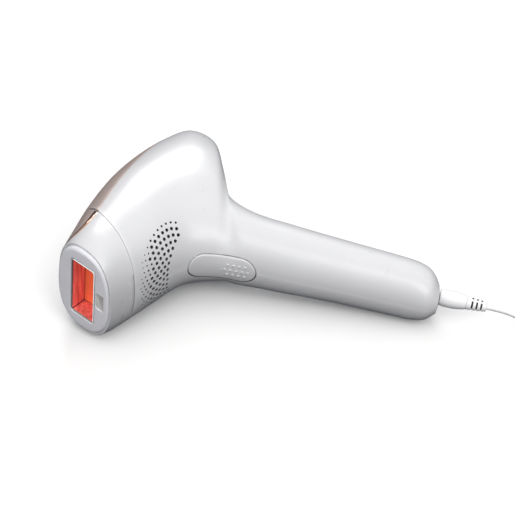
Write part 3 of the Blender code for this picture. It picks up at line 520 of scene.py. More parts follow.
def skin(s, angle):
    """Points of the casing: angle 0 is its back edge, pi its front edge, positive its left side."""
    s, angle = np.broadcast_arrays(np.asarray(s, float), np.asarray(angle, float))
    front_x, front_y, back_x, back_y, width, roundness = np.moveaxis(sections_at(s), -1, 0)
    power = 2 / roundness
    along = np.sign(np.cos(angle)) * np.abs(np.cos(angle)) ** power
    across = np.sign(np.sin(angle)) * np.abs(np.sin(angle)) ** power
    return np.stack([
        (front_x + back_x) / 2 + (back_x - front_x) / 2 * along,
        (front_y + back_y) / 2 + (back_y - front_y) / 2 * along,
        width * across,
    ], axis=-1)


def skin_normal(s, angle, step=0.02):
    along = skin(s + step, angle) - skin(s - step, angle)
    around = skin(s, angle + step) - skin(s, angle - step)
    normal = np.cross(around, along)
    return normal / np.linalg.norm(normal, axis=-1, keepdims=True)


def standing_on(at, normal):
    """A frame at a point of the casing, its z along the surface's normal there."""
    turn = Vector(normal).to_track_quat("Z", "Y").to_matrix().to_4x4()
    return lay_down @ Matrix.Translation(Vector(at) * MM) @ turn


def under(s, angle, depth):
    """Points this deep under the casing's surface. A negative depth is above it."""
    s, angle, depth = np.broadcast_arrays(
        np.asarray(s, float), np.asarray(angle, float), np.asarray(depth, float)
    )
    return skin(s, angle) - depth[..., None] * skin_normal(s, angle)


EDGE_STATIONS = np.linspace(0, END, END * 60 + 1)


def edge_lengths(angle):
    points = skin(EDGE_STATIONS, angle)
    return np.concatenate([[0], np.cumsum(np.linalg.norm(np.diff(points, axis=0), axis=1))])


def station_after(angle, distance, start):
    """The section this far along the casing, at an angle about it, from that of section start."""
    lengths = edge_lengths(angle)
    return np.interp(np.interp(start, EDGE_STATIONS, lengths) + distance, lengths, EDGE_STATIONS)


def angle_at(s, side_angle, across):
    """The angle where the casing is this far from its plane of symmetry."""
    width, roundness = np.moveaxis(sections_at(s), -1, 0)[4:]
    turn = np.arcsin(np.minimum(np.abs(across) / width, 0.999) ** (roundness / 2)) * np.sign(across)
    return turn if side_angle == 0 else np.pi - turn


# ---------------------------------------------------------------- casing halves

ROWS_PER_SECTION, RING_STEPS = 7, 34
SPLIT = 0.004
TAIL_FROM, TAIL_PULL = 12.0, 1.3
DOME_SHARES, DOME_HIGH = (0.93, 0.85, 0.75, 0.62, 0.45, 0.25, 0.02), 1.1


def casing_half(name, side):
    """One half of the body casing with a rounded end, open at the seam. side is +1 for the left half."""
    count = round((END - SEAM) * ROWS_PER_SECTION)
    outer_s = np.linspace(SEAM, END, count + 1)
    inner_s = outer_s - TAIL_PULL * (np.maximum(outer_s - TAIL_FROM, 0) / (END - TAIL_FROM)) ** 2
    angles = np.pi * np.arange(RING_STEPS + 1) / RING_STEPS

    def halves(stations, depth):
        grid = under(stations[:, None], angles[None, :], depth)
        grid[..., 2] = side * (np.maximum(grid[..., 2], 0) + SPLIT)
        return grid

    def middle_of(ring):
        return np.array([(ring[0, 0] + ring[-1, 0]) / 2, (ring[0, 1] + ring[-1, 1]) / 2, side * SPLIT])

    outer, inner = halves(outer_s, 0), halves(inner_s, WALL)
    # The end closes over in a shallow dome.
    rim, middle = outer[-1], middle_of(outer[-1])
    outwards = skin(END, 0.0) - skin(END, np.pi)
    outwards = np.array([outwards[1], -outwards[0], 0]) / np.linalg.norm(outwards)
    if outwards[0] < 0:
        outwards = -outwards
    dome = []
    for share in DOME_SHARES:
        ring = middle + (rim - middle) * share
        ring[:, 2] = side * np.maximum(np.abs(ring[:, 2]), SPLIT)
        dome.append(ring + outwards * DOME_HIGH * (1 - share**2) ** 0.8)
    outer = np.concatenate([outer, np.array(dome)])
    inner_rim, inner_middle = inner[-1], middle_of(inner[-1])
    inner_dome = [inner_middle + (inner_rim - inner_middle) * share for share in DOME_SHARES]
    inner = np.concatenate([inner, np.array(inner_dome)])
    return grid_solid(name, outer, inner, PEARL)


def spread_patch(name, stations, half_angle, side_angle, columns, outer_depth, inner_depth, *materials):
    """A piece of the casing's skin, symmetric about its plane.

    A depth may be a function of the stations along it and of the shares across it, from -1 to 1.
    """
    shares = np.linspace(-1, 1, columns + 1)
    angles = side_angle + half_angle[:, None] * shares[None, :]
    outer, inner = (d(stations, shares) if callable(d) else d for d in (outer_depth, inner_depth))
    rows = stations[:, None]
    return grid_solid(name, under(rows, angles, outer), under(rows, angles, inner), *materials)


PILL_END_ROWS, PILL_MIDDLE_ROWS, PILL_COLUMNS = 14, 12, 24


def pill_patch(name, side_angle, start, offset, length, half, grow, outer_depth, inner_depth, *materials,
               round_off=0.0):
    """A pill-shaped patch along an edge of the casing, grown all round by grow, its rim rounded off."""
    half, length, offset = half + grow, length + 2 * grow, offset - grow
    turns = np.append(np.pi / 2 * (np.arange(PILL_END_ROWS) + 0.35) / PILL_END_ROWS, np.pi / 2)
    near, width_near = half * (1 - np.cos(turns)), half * np.sin(turns)
    middle = np.linspace(half, length - half, PILL_MIDDLE_ROWS + 2)[1:-1]
    along = np.concatenate([near, middle, (length - near)[::-1]])
    widths = np.concatenate([width_near, np.full(len(middle), half), width_near[::-1]])
    stations = station_after(side_angle, offset + along, start)
    spread = np.sin(np.linspace(-np.pi / 2, np.pi / 2, PILL_COLUMNS + 1))
    across = widths[:, None] * spread[None, :]
    angles = angle_at(np.broadcast_to(stations[:, None], across.shape), side_angle, across)
    beyond = np.maximum(np.abs(along - length / 2) - (length / 2 - half), 0)
    inside = half - np.hypot(beyond[:, None], across)
    sunk = np.zeros_like(inside)
    if round_off:
        rim = np.clip(round_off - inside, 0, round_off)
        sunk = round_off - np.sqrt(np.maximum(round_off**2 - rim**2, 0))
    rows = stations[:, None]
    outer, inner = under(rows, angles, outer_depth + sunk), under(rows, angles, inner_depth)
    return grid_solid(name, outer, inner, *materials)


TRIM_DEPTH, TRIM_GAP, RECESS = 1.1, 0.16, 1.45
TOP_START, TOP_END = SEAM + 0.03, 5.97
TOP_SPREAD, TOP_TAPER, TOP_LATE_TAPER, TOP_LATE_FROM = 72, 7.3, 4, 3.4
TOP_TAIL_FROM, TOP_TAIL_LONG = 4.9, 1.1
NOSE_TIP, NOSE_SPREAD = 0.34, 72.5


def top_edge(s):
    """Half the top trim's spread, as an angle about the casing: wide at the seam, round at the tail."""
    tail = np.maximum(1 - (np.maximum(s - TOP_TAIL_FROM, 0) / TOP_TAIL_LONG) ** 3, 0.01)
    spread = TOP_SPREAD - TOP_TAPER * (s - SEAM) - TOP_LATE_TAPER * np.maximum(s - TOP_LATE_FROM, 0)
    return np.radians(spread * tail**0.5)


def nose_edge(s):
    """The same for the attachment's trim: a blunt tip above the window."""
    t = np.clip((s - NOSE_TIP) / (SEAM - NOSE_TIP), 0.001, 1)
    return np.radians(NOSE_SPREAD * (1 - (1 - t) ** 2.5) ** 0.25)


def seat_edge(edge, stations, first, last):
    """A trim's edge grown by its gap, for the seat that the trim lies in."""
    return edge(np.clip(stations, first, last)) + TRIM_GAP / sections_at(stations)[..., 4]


# The trigger and the panel: the section they start from, the way from there, their length and half width.
TRIGGER_FROM, TRIGGER_START, TRIGGER_LENGTH, TRIGGER_HALF = 5.0, 1.0, 38.0, 8.6
PANEL_FROM, PANEL_START, PANEL_LENGTH, PANEL_HALF = 6.0, 5.0, 38.0, 10.5
TRIGGER_GAP, TRIGGER_PROUD, PANEL_GAP, PANEL_LEDGE = 0.46, 0.3, 0.14, 2
CUTTER_TOP, CUTTER_DEEP = -2.5, 5

# The air inlets: a lattice of holes on the underside of the head, its rows running forwards from the rear.
# It is stretched over a patch: the y and z of the places VENT_ROWS by VENT_COLUMNS of it.
VENT_ROWS, VENT_COLUMNS = (0, 5, 10, 15), (0, 2.5, 5)
VENT_Y = ((39.9, 27.5, 20.5), (41.3, 31.5, 23.8), (47.8, 41.0, 36.4), (56.1, 55.6, 60.1))
VENT_Z = ((0.8, 1.4, 1.2), (9.9, 14.6, 15.9), (17.7, 24.5, 26.9), (21.6, 28.0, 25.2))


def shares(knots, at):
    """How much each knot weighs at a place between them, for a smooth curve through all."""
    return np.array([
        math.prod((at - other) / (knot - other) for other in knots if other != knot) for knot in knots
    ])


def vent_place(row, column):
    weights = np.outer(shares(VENT_ROWS, row), shares(VENT_COLUMNS, column))
    return float((weights * VENT_Y).sum()), float((weights * VENT_Z).sum())


def last_column(row):
    return 4.5 + 0.5 * (row % 2) if row < 6 else 8.5 - row / 2


def hole_size(row, column):
    """Large holes towards the rear, and ever smaller ones forwards."""
    large = 3.5 if 6 <= row <= 8 else 2.5 if row < 6 else last_column(row) - 0.5
    if column <= large or row >= 11 and column < last_column(row):
        return 1.0
    return 0.68 if column < 4 or row >= 9 else 0.5 if column < 5 else 0.36


def on_underside(y, z):
    """The section and angle of the point of the casing's front side at this y and z."""
    s, angle = 3.2, math.pi - z / 24
    for _ in range(12):
        at = skin(s, angle)
        by_s, by_angle = (skin(s + 1e-4, angle) - at) / 1e-4, (skin(s, angle + 1e-4) - at) / 1e-4
        slopes = np.array(((by_s[1], by_angle[1]), (by_s[2], by_angle[2])))
        step = np.linalg.solve(slopes, (y - at[1], z - at[2]))
        s, angle = s + float(np.clip(step[0], -0.4, 0.4)), angle + float(np.clip(step[1], -0.25, 0.25))
    return s, angle, abs(y - skin(s, angle)[1]) + abs(z - skin(s, angle)[2])


def vent_field(side):
    """(section, angle, radius) of each inlet on one side. side is +1 for the left."""
    made = []
    for row in range(VENT_ROWS[-1] + 1):
        first = 0.5 * ((row + (side < 0)) % 2 == 0) if row < VENT_ROWS[-1] else 1.0
        for column in np.arange(first, last_column(row) + 0.01):
            y, across = vent_place(row, float(column))
            s, angle, miss = on_underside(y, side * max(across, 0.3))
            if miss < 0.05:
                made.append((s, angle, hole_size(row, column)))
    return made


def vent_cutter(side):
    made = []
    for s, angle, radius in vent_field(side):
        hanger = standing_on(skin(s, angle), skin_normal(s, angle))
        # The cutters give the holes' walls the dark painted shade.
        made.append(prism("hole", circle(radius, 14), -WALL - 1.5, 2, HOLE_PAINTED_SHADE, axis="z", matrix=hanger))
    return joined(f"vents_{side}", made)


def casing_cutters(side):
    seat_s = np.concatenate([[SEAM - 0.2], np.linspace(TOP_START, TOP_END, 40), [TOP_END + 0.03]])
    top_seat = spread_patch(
        "top_seat", seat_s, seat_edge(top_edge, seat_s, TOP_START, TOP_END), 0, 36, -3, RECESS
    )
    # This cutter gives the walls of the trigger's gap the dark painted shade.
    trigger_hole = pill_patch(
        "trigger_hole", math.pi, TRIGGER_FROM, TRIGGER_START, TRIGGER_LENGTH, TRIGGER_HALF, TRIGGER_GAP,
        CUTTER_TOP, CUTTER_DEEP, HOLE_PAINTED_SHADE,
    )
    panel_seat, panel_hole = (
        pill_patch(name, 0, PANEL_FROM, PANEL_START, PANEL_LENGTH, PANEL_HALF, grow, top, deep)
        for name, grow, top, deep in (
            ("panel_seat", PANEL_GAP, CUTTER_TOP, RECESS), ("panel_hole", -PANEL_LEDGE, -2, CUTTER_DEEP),
        )
    )
    bore = turned("bore", ((5.35, -14), (5.35, 8)), socket_frame)
    return top_seat, trigger_hole, panel_seat, panel_hole, bore, vent_cutter(side)


for name, node, side in (("casing_left", "left_shell", 1), ("casing_right", "right_shell", -1)):
    half = casing_half(name, side)
    carve(half, *casing_cutters(side))
    stand_for(half, node, "casing")


# ---------------------------------------------------------------- trims, trigger and control panel


def edged(width_mm, depth):
    """A depth for spread_patch that rounds off its two long edges."""

    def made(stations, shares):
        halves = sections_at(stations)[..., 4][:, None]
        from_edge = (1 - np.abs(shares))[None, :] * halves
        rim = np.clip(width_mm - from_edge, 0, width_mm) / width_mm
        return depth * (1 - np.sqrt(np.maximum(1 - rim**2, 0)))

    return made


top_s = TOP_START + (TOP_END - TOP_START) * (1 - (1 - np.linspace(0, 1, 44)) ** 1.5)
top_trim = spread_patch("top_plate", top_s, top_edge(top_s), 0, 44, edged(1.0, 0.3), TRIM_DEPTH, ROSE)
stand_for(top_trim, "top_trim", "casing")

trigger = pill_patch(
    "trigger_cap", math.pi, TRIGGER_FROM, TRIGGER_START, TRIGGER_LENGTH, TRIGGER_HALF, 0, -TRIGGER_PROUD, 2.0,
    PEARL, round_off=0.9,
)
BUMP_ROWS = ((-3.5, 4), (0.0, 5), (3.5, 4))
BUMP_PITCH, BUMP_MIDDLE, BUMP_RADIUS, BUMP_HIGH = 3.25, 27.0, 0.85, 0.42
domes = []
for across, count in BUMP_ROWS:
    for i in range(count):
        distance = TRIGGER_START + BUMP_MIDDLE + BUMP_PITCH * (i - (count - 1) / 2)
        s = float(station_after(math.pi, distance, TRIGGER_FROM))
        angle = float(angle_at(np.array(s), math.pi, np.array(across)))
        hanger = standing_on(under(s, angle, -TRIGGER_PROUD), skin_normal(s, angle))
        domes.append(prism("dome", circle(BUMP_RADIUS, 16), -0.4, BUMP_HIGH, axis="z", matrix=hanger,
                           insets=((0, 0), (0.49, 0), (0.66, 0.05), (0.8, 0.16), (0.92, 0.36), (1, 0.62))))
carve(trigger, joined("domes", domes), operation="UNION")
stand_for(trigger, "trigger_button", "trigger")

panel = pill_patch(
    "rear_panel", 0, PANEL_FROM, PANEL_START, PANEL_LENGTH, PANEL_HALF, 0, 0, TRIM_DEPTH, LILAC,
    round_off=0.5,
)


def panel_frame(distance, across=0.0):
    """A frame on the panel, this far along the casing's rear edge and to its side, z outwards."""
    s = float(station_after(0.0, PANEL_START + distance, PANEL_FROM))
    angle = float(angle_at(np.array(s), 0, np.array(across))) if across else 0.0
    return standing_on(skin(s, angle), skin_normal(s, angle))


KEYS = (("power", 25.5, 5.2), ("select", 13.5, 3.4))
LIGHTS = [(5.5 + 0.7 * abs(i - 2) ** 1.5, 2.7 * (i - 2)) for i in range(5)] + [(33.4, 0.0)]
LIGHT_NODES = [f"level_light_{i}" for i in range(1, 6)] + ["ready_light"]
tools = [prism("hole", circle(radius + 0.25, 40), -5, 5, axis="z", matrix=panel_frame(distance))
         for _, distance, radius in KEYS]
tools += [prism("hole", circle(1.12, 20), -4, 4, axis="z", matrix=panel_frame(*spot)) for spot in LIGHTS]
carve(panel, joined("panel_holes", tools))
stand_for(panel, "control_panel", "casing")

for key, distance, radius in KEYS:
    hanger = panel_frame(distance)
    cap = prism(
        f"{key}_key", circle(radius, 48), -3.2, 0.9, PEARL, axis="z", matrix=hanger,
        insets=(
            (0, 0), (0.86, 0), (0.94, 0.12), (0.985, 0.35), (1, 0.7), (0.985, radius * 0.45),
            (0.96, radius * 0.97),
        ),
    )
    stand_for(cap, f"{key}_button", f"{key}_key")
    marks = []
    arc = bpy.data.curves.new("mark", "CURVE")
    arc.dimensions = "3D"
    arc.bevel_depth = 0.17 * MM
    arc.bevel_resolution = 2
    arc.use_fill_caps = True
    strokes = []
    if key == "power":
        strokes.append([(1.9 * math.sin(t), 1.9 * math.cos(t)) for t in np.radians(np.linspace(40, 320, 25))])
        strokes.append([(0.0, 0.6), (0.0, 2.3)])
    else:
        strokes.append([(-1.2, -0.6), (0.0, 0.7), (1.2, -0.6)])
    for stroke in strokes:
        line = arc.splines.new("POLY")
        line.points.add(len(stroke) - 1)
        for point, (x, y) in zip(line.points, stroke):
            point.co = (x * MM, y * MM, 0.80 * MM, 1)
    mark = bpy.data.objects.new(f"{key}_mark", arc)
    scene.collection.objects.link(mark)
    mark.matrix_world = hanger
    arc.materials.append(ICON)
    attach(mark, f"{key}_key")

for node, spot in zip(LIGHT_NODES, LIGHTS):
    lens = prism(
        f"{node}_lens", circle(1.0, 24), -2.6, 0.1, LIGHT_LENS, axis="z", matrix=panel_frame(*spot),
        insets=((0, 0), (0.9, 0), (0.96, 0.12), (1, 0.45)),
    )
    stand_for(lens, node, "casing")


# ---------------------------------------------------------------- attachment and treatment window

RING_X, RING_Z, RING_DEPTH, FACE_ROUNDNESS = 18.5, 28.2, 2.6, 2.5
FACE_GROW, BORE_GROW = 0.26, 0.31
ATTACHMENT_WALL = 2.2
WINDOW_X, WINDOW_Z, FRAME_DEPTH = 15.2, 37.4, 9.9
SHELL_FRONT, SHELL_REAR = 0.3, SEAM - SEAM_GAP
SENSOR = (12.5, 5.6, 11.4)

ring_turns = 2 * np.pi * np.arange(72) / 72
shell_s = np.concatenate([
    [SHELL_FRONT, SHELL_FRONT + 0.012, SHELL_FRONT + 0.035], np.linspace(0.38, SHELL_REAR, 22),
])
shell_depth = np.zeros(len(shell_s))
shell_depth[:3] = (0.55, 0.2, 0.05)
inner_s = np.linspace(SHELL_FRONT, SHELL_REAR, len(shell_s))
attachment = grid_solid(
    "attachment_body",
    under(shell_s[:, None], ring_turns[None, :], shell_depth[:, None]),
    under(inner_s[:, None], ring_turns[None, :], ATTACHMENT_WALL),
    PEARL, wrap=True,
)
# A shallow dip for the fingertip at the rear edge, where the attachment is pulled off.
DIP_START, DIP_DEEP, DIP_HALF = SEAM - 0.17, 0.8, 24
dip_s = np.linspace(DIP_START, SEAM + 0.05, 14)


def dip_depth(stations, shares):
    """Deepest at the rear edge, and fading out forwards and at its two sides."""
    along = np.clip((stations - DIP_START) / (SEAM - DIP_START), 0.01, 1) ** 1.6
    across = np.clip(1.02 - np.abs(shares) ** 6, 0.02, 1)
    return DIP_DEEP * along[:, None] * across[None, :]


dip_angles = np.full(len(dip_s), math.radians(DIP_HALF))
dip = spread_patch("dip", dip_s, dip_angles, math.pi, 32, -1.5, dip_depth)
bore_outline = superellipse(RING_X + BORE_GROW, RING_Z + BORE_GROW, FACE_ROUNDNESS, 96)
ring_bore = prism("ring_bore", bore_outline, -5, 6)
nose_s = SHELL_FRONT + 0.06 + (SHELL_REAR - 0.02 - SHELL_FRONT - 0.06) * np.linspace(0, 1, 34) ** 1.5
seat_s = np.concatenate([[0.33], nose_s[1:-1], [SEAM + 0.2]])
nose_seat = spread_patch(
    "nose_seat", seat_s, seat_edge(nose_edge, seat_s, 0.37, SEAM), 0, 36, -3, RECESS
)
carve(attachment, ring_bore, nose_seat, dip)
stand_for(attachment, "attachment_shell", "attachment")

BEVEL_WIDE, BEVEL_DEEP = 2.6, 1.0


def nose_bevel(stations, shares):
    """A hollow bevel along the trim's edges, which fades out towards its tip and its seam."""
    halves = sections_at(stations)[..., 4][:, None] * nose_edge(stations)[:, None]
    from_edge = (1 - np.abs(shares))[None, :] * halves
    along = (stations - stations[0]) / (stations[-1] - stations[0])
    wide = (BEVEL_WIDE * np.sin(np.pi * np.clip(along * 0.95 + 0.03, 0, 1)) ** 0.6)[:, None]
    share = np.clip(1 - from_edge / np.maximum(wide, 0.05), 0, 1)
    return BEVEL_DEEP * share * (wide / BEVEL_WIDE)


BEVEL_FROM = 0.86
nose_shares = np.concatenate([
    np.linspace(-1, -BEVEL_FROM, 8)[:-1], np.linspace(-BEVEL_FROM, BEVEL_FROM, 29),
    np.linspace(BEVEL_FROM, 1, 8)[1:],
])
nose_angles = nose_edge(nose_s)[:, None] * nose_shares[None, :]
nose_trim = grid_solid(
    "nose_plate",
    under(nose_s[:, None], nose_angles, nose_bevel(nose_s, nose_shares)),
    under(nose_s[:, None], nose_angles, 1.25),
    ROSE, COPPER, angle=18,
)
BEVEL_FACES, across = 5, len(nose_shares) - 1
for face in nose_trim.data.polygons[:across * (len(nose_s) - 1)]:
    face.material_index = int(min(face.index % across, across - 1 - face.index % across) < BEVEL_FACES)
stand_for(nose_trim, "attachment_trim", "attachment")

ROUND_WIDE, ROUND_DEEP = 2.1, 1.9
edge_rings = [
    (ROUND_DEEP / RING_DEPTH * (1 - math.cos(t)), ROUND_WIDE * (1 - math.sin(t)))
    for t in np.radians(np.linspace(0, 90, 9))
]
face_outline = superellipse(RING_X + FACE_GROW, RING_Z + FACE_GROW, FACE_ROUNDNESS, 128)
ring = prism("contact_face", face_outline, 0, RING_DEPTH, LILAC, insets=(*edge_rings, (1, 0)))
ring_window = prism(
    "ring_window", soft_rectangle(WINDOW_X / 2 + 1.5, WINDOW_Z / 2 + 1.5, (2.4,) * 4, 10), -0.6, 6,
    insets=((0, -0.3), (0.11, 0.12), (0.17, 0.42), (0.25, 0.6), (1, 0.6)),
)
sensor_at, sensor_x, sensor_z = SENSOR
sensor_hole = prism(
    "sensor_hole",
    soft_rectangle(sensor_x / 2 + 0.12, sensor_z / 2 + 0.12, (0.5,) * 4) + np.array((sensor_at, 0)), -3, 6,
)
carve(ring, ring_window, sensor_hole)
stand_for(ring, "contact_ring", "contact_face")

# The sensor window: two facets that meet along its diagonal, the upper one sloping in. The lower facet is
# coloured pale, a painted highlight, and the upper one dark, painted shade.
low_x, high_x, low_z, high_z = sensor_at - sensor_x / 2, sensor_at + sensor_x / 2, -sensor_z / 2, sensor_z / 2
corners = ((low_x, low_z), (high_x, low_z), (high_x, high_z), (low_x, high_z))
sensor_verts = [(x, y, z) for (x, z), y in zip(corners, (0.75, 0.35, 1.7, 0.35))]
sensor_verts += [(x, RING_DEPTH, z) for x, z in corners]
sensor_faces = [(0, 1, 3), (1, 2, 3), (4, 5, 6, 7), (0, 1, 5, 4), (1, 2, 6, 5), (2, 3, 7, 6), (3, 0, 4, 7)]
sensor = from_faces("skin_sensor", place(sensor_verts), sensor_faces, SENSOR_PAINTED_HIGHLIGHT, SENSOR_PAINTED_SHADE, angle=5)
for face in sensor.data.polygons:
    local = lay_down.inverted() @ face.center / MM
    face.material_index = int((local.x - sensor_at) / sensor_x + local.z / sensor_z > 0)
stand_for(sensor, "skin_sensor_window", "contact_face")

# The window's frame: a rim round red mirror walls, on a flange inside the attachment. Half the rim's front is
# a pale, glowing painted highlight and the other half dark painted shade; the walls glow a little as painted
# light, and one inner corner is painted dark as painted shade.
FRAME_WALL, RIM_DEEP = 0.7, 0.66
frame_outer = soft_rectangle(WINDOW_X / 2 + FRAME_WALL, WINDOW_Z / 2 + FRAME_WALL, (1.9,) * 4)
frame_inner = soft_rectangle(WINDOW_X / 2, WINDOW_Z / 2, (1.5, 0.6, 0.6, 0.6))
frame_wall = frame_outer - frame_inner
levels = (
    (frame_outer, FRAME_DEPTH), (frame_outer, 0.35), (frame_inner + frame_wall * 0.75, 0.05),
    (frame_inner + frame_wall * 0.55, 0.0), (frame_inner, 0.65), (frame_inner, FRAME_DEPTH),
)
count = len(frame_outer)
frame_verts = np.concatenate([np.stack([o[:, 0], np.full(count, y), o[:, 1]], axis=1) for o, y in levels])
last_level = (len(levels) - 1) * count
frame_faces = grid_faces(len(levels), count, 0, True) + [
    (j, (j + 1) % count, last_level + (j + 1) % count, last_level + j) for j in range(count)
]
window = from_faces("window_liner", place(frame_verts), frame_faces, RIM_PAINTED_SHADE, RED_WALL_PAINTED_GLOW, angle=25)
FLANGE_HALF, FLANGE_FRONT, FLANGE_BACK = (18.2, 28.5), 8.0, 9.5
flange = prism("flange", superellipse(*FLANGE_HALF, FACE_ROUNDNESS, 64), FLANGE_FRONT, FLANGE_BACK)
SPRING_Z, SPRING_HOLE = 23.0, 2.6
carve(flange, prism("slot", frame_inner, 2, 16), *[
    prism("spring_hole", circle(SPRING_HOLE, 24) + np.array((0, z)), 5, 12) for z in (-SPRING_Z, SPRING_Z)
])
carve(window, flange, operation="UNION")
window.data.materials.append(RED_CORNER_PAINTED_SHADE)
window.data.materials.append(RIM_PAINTED_HIGHLIGHT)
for face in window.data.polygons:
    local = lay_down.inverted() @ face.center / MM
    if local.y > RIM_DEEP:
        inside = abs(local.x) < WINDOW_X / 2 + 0.05 and abs(local.z) < WINDOW_Z / 2 + 0.05
        # The inner corner at -x -z is painted dark as painted shade.
        in_painted_shade_corner = local.x < -WINDOW_X / 2 + 0.5 and local.z < -WINDOW_Z / 2 + 0.5
        face.material_index = (2 if in_painted_shade_corner else 1) if inside else 0
    else:
        # Faces on the +x +z side of the diagonal get the pale rim, a painted highlight; the rest get the dark
        # rim, painted shade.
        lit = local.x / WINDOW_X + local.z / WINDOW_Z > 0.0
        face.material_index = 3 if lit else 0
stand_for(window, "window_frame", "attachment")

GLASS_FACE, GLASS_FRONT, GLASS_BACK = 10.35, 11.8, 13.6
PANE_HALF, STEP_HALF = (11.5, 21.5), (7.7, 18.8)
pane = prism("filter_pane", soft_rectangle(*PANE_HALF, (0.8,) * 4), GLASS_FRONT, GLASS_BACK, RED_GLASS_PAINTED_GLOW)
step = prism("filter_step", soft_rectangle(*STEP_HALF, (0.5,) * 4), GLASS_FACE, GLASS_FRONT + 0.5)
carve(pane, step, operation="UNION")
stand_for(pane, "filter_glass", "casing")


# ---------------------------------------------------------------- plug, strain relief, socket

BARREL = 9.5
plug_profile = [
    (0.02, -BARREL + 0.5), (2.4, -BARREL + 0.5), (2.5, -BARREL + 0.7), (2.5, 0.45), (4.3, 0.45), (4.55, 0.6),
    (4.7, 1.2), (4.85, 2.6), (4.97, 4.5), (5.0, 6.5), (4.98, 8.3), (4.85, 10.0), (4.65, 11.5), (4.4, 12.8),
    (4.15, 14.0), (3.95, 15.0), (3.8, 15.4), (0.02, 15.45),
]
plug = turned("plug_body", plug_profile, socket_frame, CABLE, steps=64)
stand_for(plug, "plug", "casing")

relief_profile = [
    (0.02, RELIEF_START - 0.3), (3.5, RELIEF_START - 0.3), (3.75, RELIEF_START), (3.7, RELIEF_START + 2),
    (3.45, RELIEF_START + 5), (3.15, RELIEF_START + 8), (2.9, RELIEF_START + RELIEF_LONG - 1.2),
    (2.7, RELIEF_START + RELIEF_LONG - 0.5), (2.3, RELIEF_START + RELIEF_LONG - 0.1),
    (1.7, RELIEF_START + RELIEF_LONG), (0.02, RELIEF_START + RELIEF_LONG),
]
relief = turned("relief_sleeve", relief_profile, socket_frame, CABLE, GROOVE_PAINTED_SHADE, steps=64)
SLOT_STARTS, SLOT_WIDE = (2.3, 4.9, 7.4), 1.0
SLOT_MIDDLES, SLOT_SPAN = (59, 149, 239, 329), 35


def slot_cutter(start, middle):
    """A groove's cutter: part of a ring about the plug's axis. It gives the groove's walls a dark painted
    shade.
    """
    turns = np.radians(np.linspace(middle - SLOT_SPAN, middle + SLOT_SPAN, 15))
    verts = []
    for x in (start, start + SLOT_WIDE):
        for radius in (2.0, 6.0):
            verts += [(x, -radius * math.sin(t), radius * math.cos(t)) for t in turns]
    count = len(turns)
    faces = []
    for j in range(count - 1):
        a, b, c, d = j, count + j, 3 * count + j, 2 * count + j
        faces += [(a, a + 1, b + 1, b), (d, d + 1, c + 1, c), (a, a + 1, d + 1, d), (b, b + 1, c + 1, c)]
    faces += [(0, count, 3 * count, 2 * count), (count - 1, 2 * count - 1, 4 * count - 1, 3 * count - 1)]
    return from_faces("slot", place(verts, socket_frame), faces, GROOVE_PAINTED_SHADE)


carve(relief, joined("slots", [
    slot_cutter(RELIEF_START + start, middle) for start in SLOT_STARTS for middle in SLOT_MIDDLES
]))
stand_for(relief, "strain_relief", "casing")

socket_profile = (
    (0.02, -13), (6.0, -13), (6.0, -2.9), (5.2, -2.7), (5.2, -0.9), (5.0, -0.7), (2.8, -0.7), (2.8, -11.5),
    (0.02, -11.5),
)
socket_piece = turned("socket_body", socket_profile, socket_frame, BLACK)
stand_for(socket_piece, "power_socket", "casing")

lead_curve.materials.append(CABLE)


# ---------------------------------------------------------------- the CAD pieces that show as they are

FINISHES = (
    (STEEL, "ring_spring_1 ring_spring_2 trigger_spring trigger_pin board_screw_1 board_screw_2 socket_pin"
            " adapter_pin_1 adapter_pin_2"),
    (CLEAR, "flash_lamp"),
    (BLACK, "nose_housing fan_frame fan_rotor trigger_switch"),
    (SLEEVE, "main_capacitor filter_capacitor"),
    (GREY, "lamp_holder_left lamp_holder_right trigger_bracket transformer"),
    (BRIGHT, "reflector"),
    (ALUMINIUM, "heat_sink"),
    (BOARD, "control_board main_board"),
    (ADAPTER, "adapter_body"),
    (CABLE, "adapter_relief"),
)
for material, names in FINISHES:
    for name in names.split():
        mesh = nodes[name].data
        mesh.materials.clear()
        mesh.materials.append(material)
        shaded(mesh, 35)


# ---------------------------------------------------------------- floor and light

floor_mesh = bpy.data.meshes.new("floor")
SIDE = 6.0
floor_corners = [(-SIDE, -SIDE, 0), (SIDE, -SIDE, 0), (SIDE, SIDE, 0), (-SIDE, SIDE, 0)]
floor_mesh.from_pydata(floor_corners, [], [(0, 1, 2, 3)])
floor_white = finish("floor_white", (0.88, 0.88, 0.88), 0.7, drift=0.004, grain=0.0, wear=0.0, specular=0.2)
floor = piece_of("floor", floor_mesh, floor_white)
floor.location.z = -0.0002
floor.visible_diffuse = floor.visible_glossy = False

# A pale wall far behind, which only the camera sees.
WALL_RADIUS, WALL_HIGH, WALL_SIDES = 5.6, 7.0, 128
around = 2 * np.pi * np.arange(WALL_SIDES) / WALL_SIDES
wall_verts = [(WALL_RADIUS * np.cos(t), WALL_RADIUS * np.sin(t), z) for z in (0.0, WALL_HIGH) for t in around]
wall_mesh = bpy.data.meshes.new("backdrop")
wall_mesh.from_pydata(wall_verts, [], grid_faces(2, WALL_SIDES, 0, True))
shaded(wall_mesh)
wall_white = finish("backdrop_white", (0.9, 0.9, 0.9), 0.8, drift=0.004, grain=0.0, wear=0.0, glow=0.35)
backdrop = piece_of("backdrop", wall_mesh, wall_white)
backdrop.visible_diffuse = backdrop.visible_glossy = False
backdrop.visible_shadow = backdrop.visible_transmission = False

# The studio: a tent that is brightest above the front right, dim at the table's edge and dark below it.
BRIGHTEST = (0.78, -0.36, 0.51)
FACING_AWAY, FACING_IT, BELOW = 0.30, 1.62, 0.042
DUSK = (0.1, 0.5)
SHADE_TINT, LIGHT_TINT = (0.74, 0.78, 1.0), (1.0, 1.0, 0.985)

world = bpy.data.worlds.new("studio")
scene.world = world
world.use_nodes = True
sky = world.node_tree


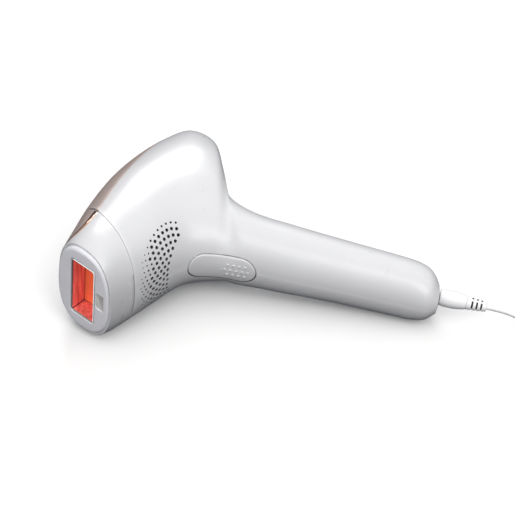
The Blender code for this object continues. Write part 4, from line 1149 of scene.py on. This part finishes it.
def sky_ramp(source, low, high, out_low, out_high):
    node = sky.nodes.new("ShaderNodeMapRange")
    for socket, value in zip(RANGE_SOCKETS, (low, high, out_low, out_high)):
        node.inputs[socket].default_value = value
    sky.links.new(source, node.inputs["Value"])
    return node.outputs["Result"]


direction = sky.nodes.new("ShaderNodeTexCoord").outputs["Generated"]
towards = sky.nodes.new("ShaderNodeVectorMath")
towards.operation = "DOT_PRODUCT"
towards.inputs[1].default_value = BRIGHTEST
sky.links.new(direction, towards.inputs[0])
split = sky.nodes.new("ShaderNodeSeparateXYZ")
sky.links.new(direction, split.inputs[0])
above = sky_ramp(split.outputs["Z"], *DUSK, 0, 1)
tent = sky_ramp(towards.outputs["Value"], -0.35, 1, FACING_AWAY - BELOW, FACING_IT - BELOW)
lit = sky.nodes.new("ShaderNodeMath")
lit.operation = "MULTIPLY_ADD"
sky.links.new(above, lit.inputs[0])
sky.links.new(tent, lit.inputs[1])
lit.inputs[2].default_value = BELOW
sky.links.new(lit.outputs[0], sky.nodes["Background"].inputs["Strength"])
tint = sky.nodes.new("ShaderNodeMix")
tint.data_type = "RGBA"
tint.inputs["A"].default_value = (*SHADE_TINT, 1)
tint.inputs["B"].default_value = (*LIGHT_TINT, 1)
sky.links.new(sky_ramp(lit.outputs[0], BELOW, 0.7, 0, 1), tint.inputs["Factor"])
sky.links.new(tint.outputs["Result"], sky.nodes["Background"].inputs["Color"])


MIDDLE = (0, 0, 0.03)


def area_light(name, at, target, size, watts):
    data = bpy.data.lights.new(name, "AREA")
    data.energy = watts
    data.shape = "RECTANGLE"
    data.size = data.size_y = size
    made = bpy.data.objects.new(name, data)
    scene.collection.objects.link(made)
    made.location = at
    made.rotation_mode = "QUATERNION"
    made.rotation_quaternion = (Vector(target) - Vector(at)).to_track_quat("-Z", "Y")


area_light("key", (0.48, -0.56, 1.07), MIDDLE, 0.6, 2.2)
area_light("side_key", (0.79, -0.27, 0.64), MIDDLE, 0.5, 2.3)
area_light("soft_box", (-0.62, 0.75, 0.85), (-0.03, 0, 0.03), 0.55, 6.2)
area_light("front_fill", (-0.12, -0.95, 0.28), (-0.06, 0, 0.03), 0.5, 1.4)
scene.view_settings.view_transform = "Standard"
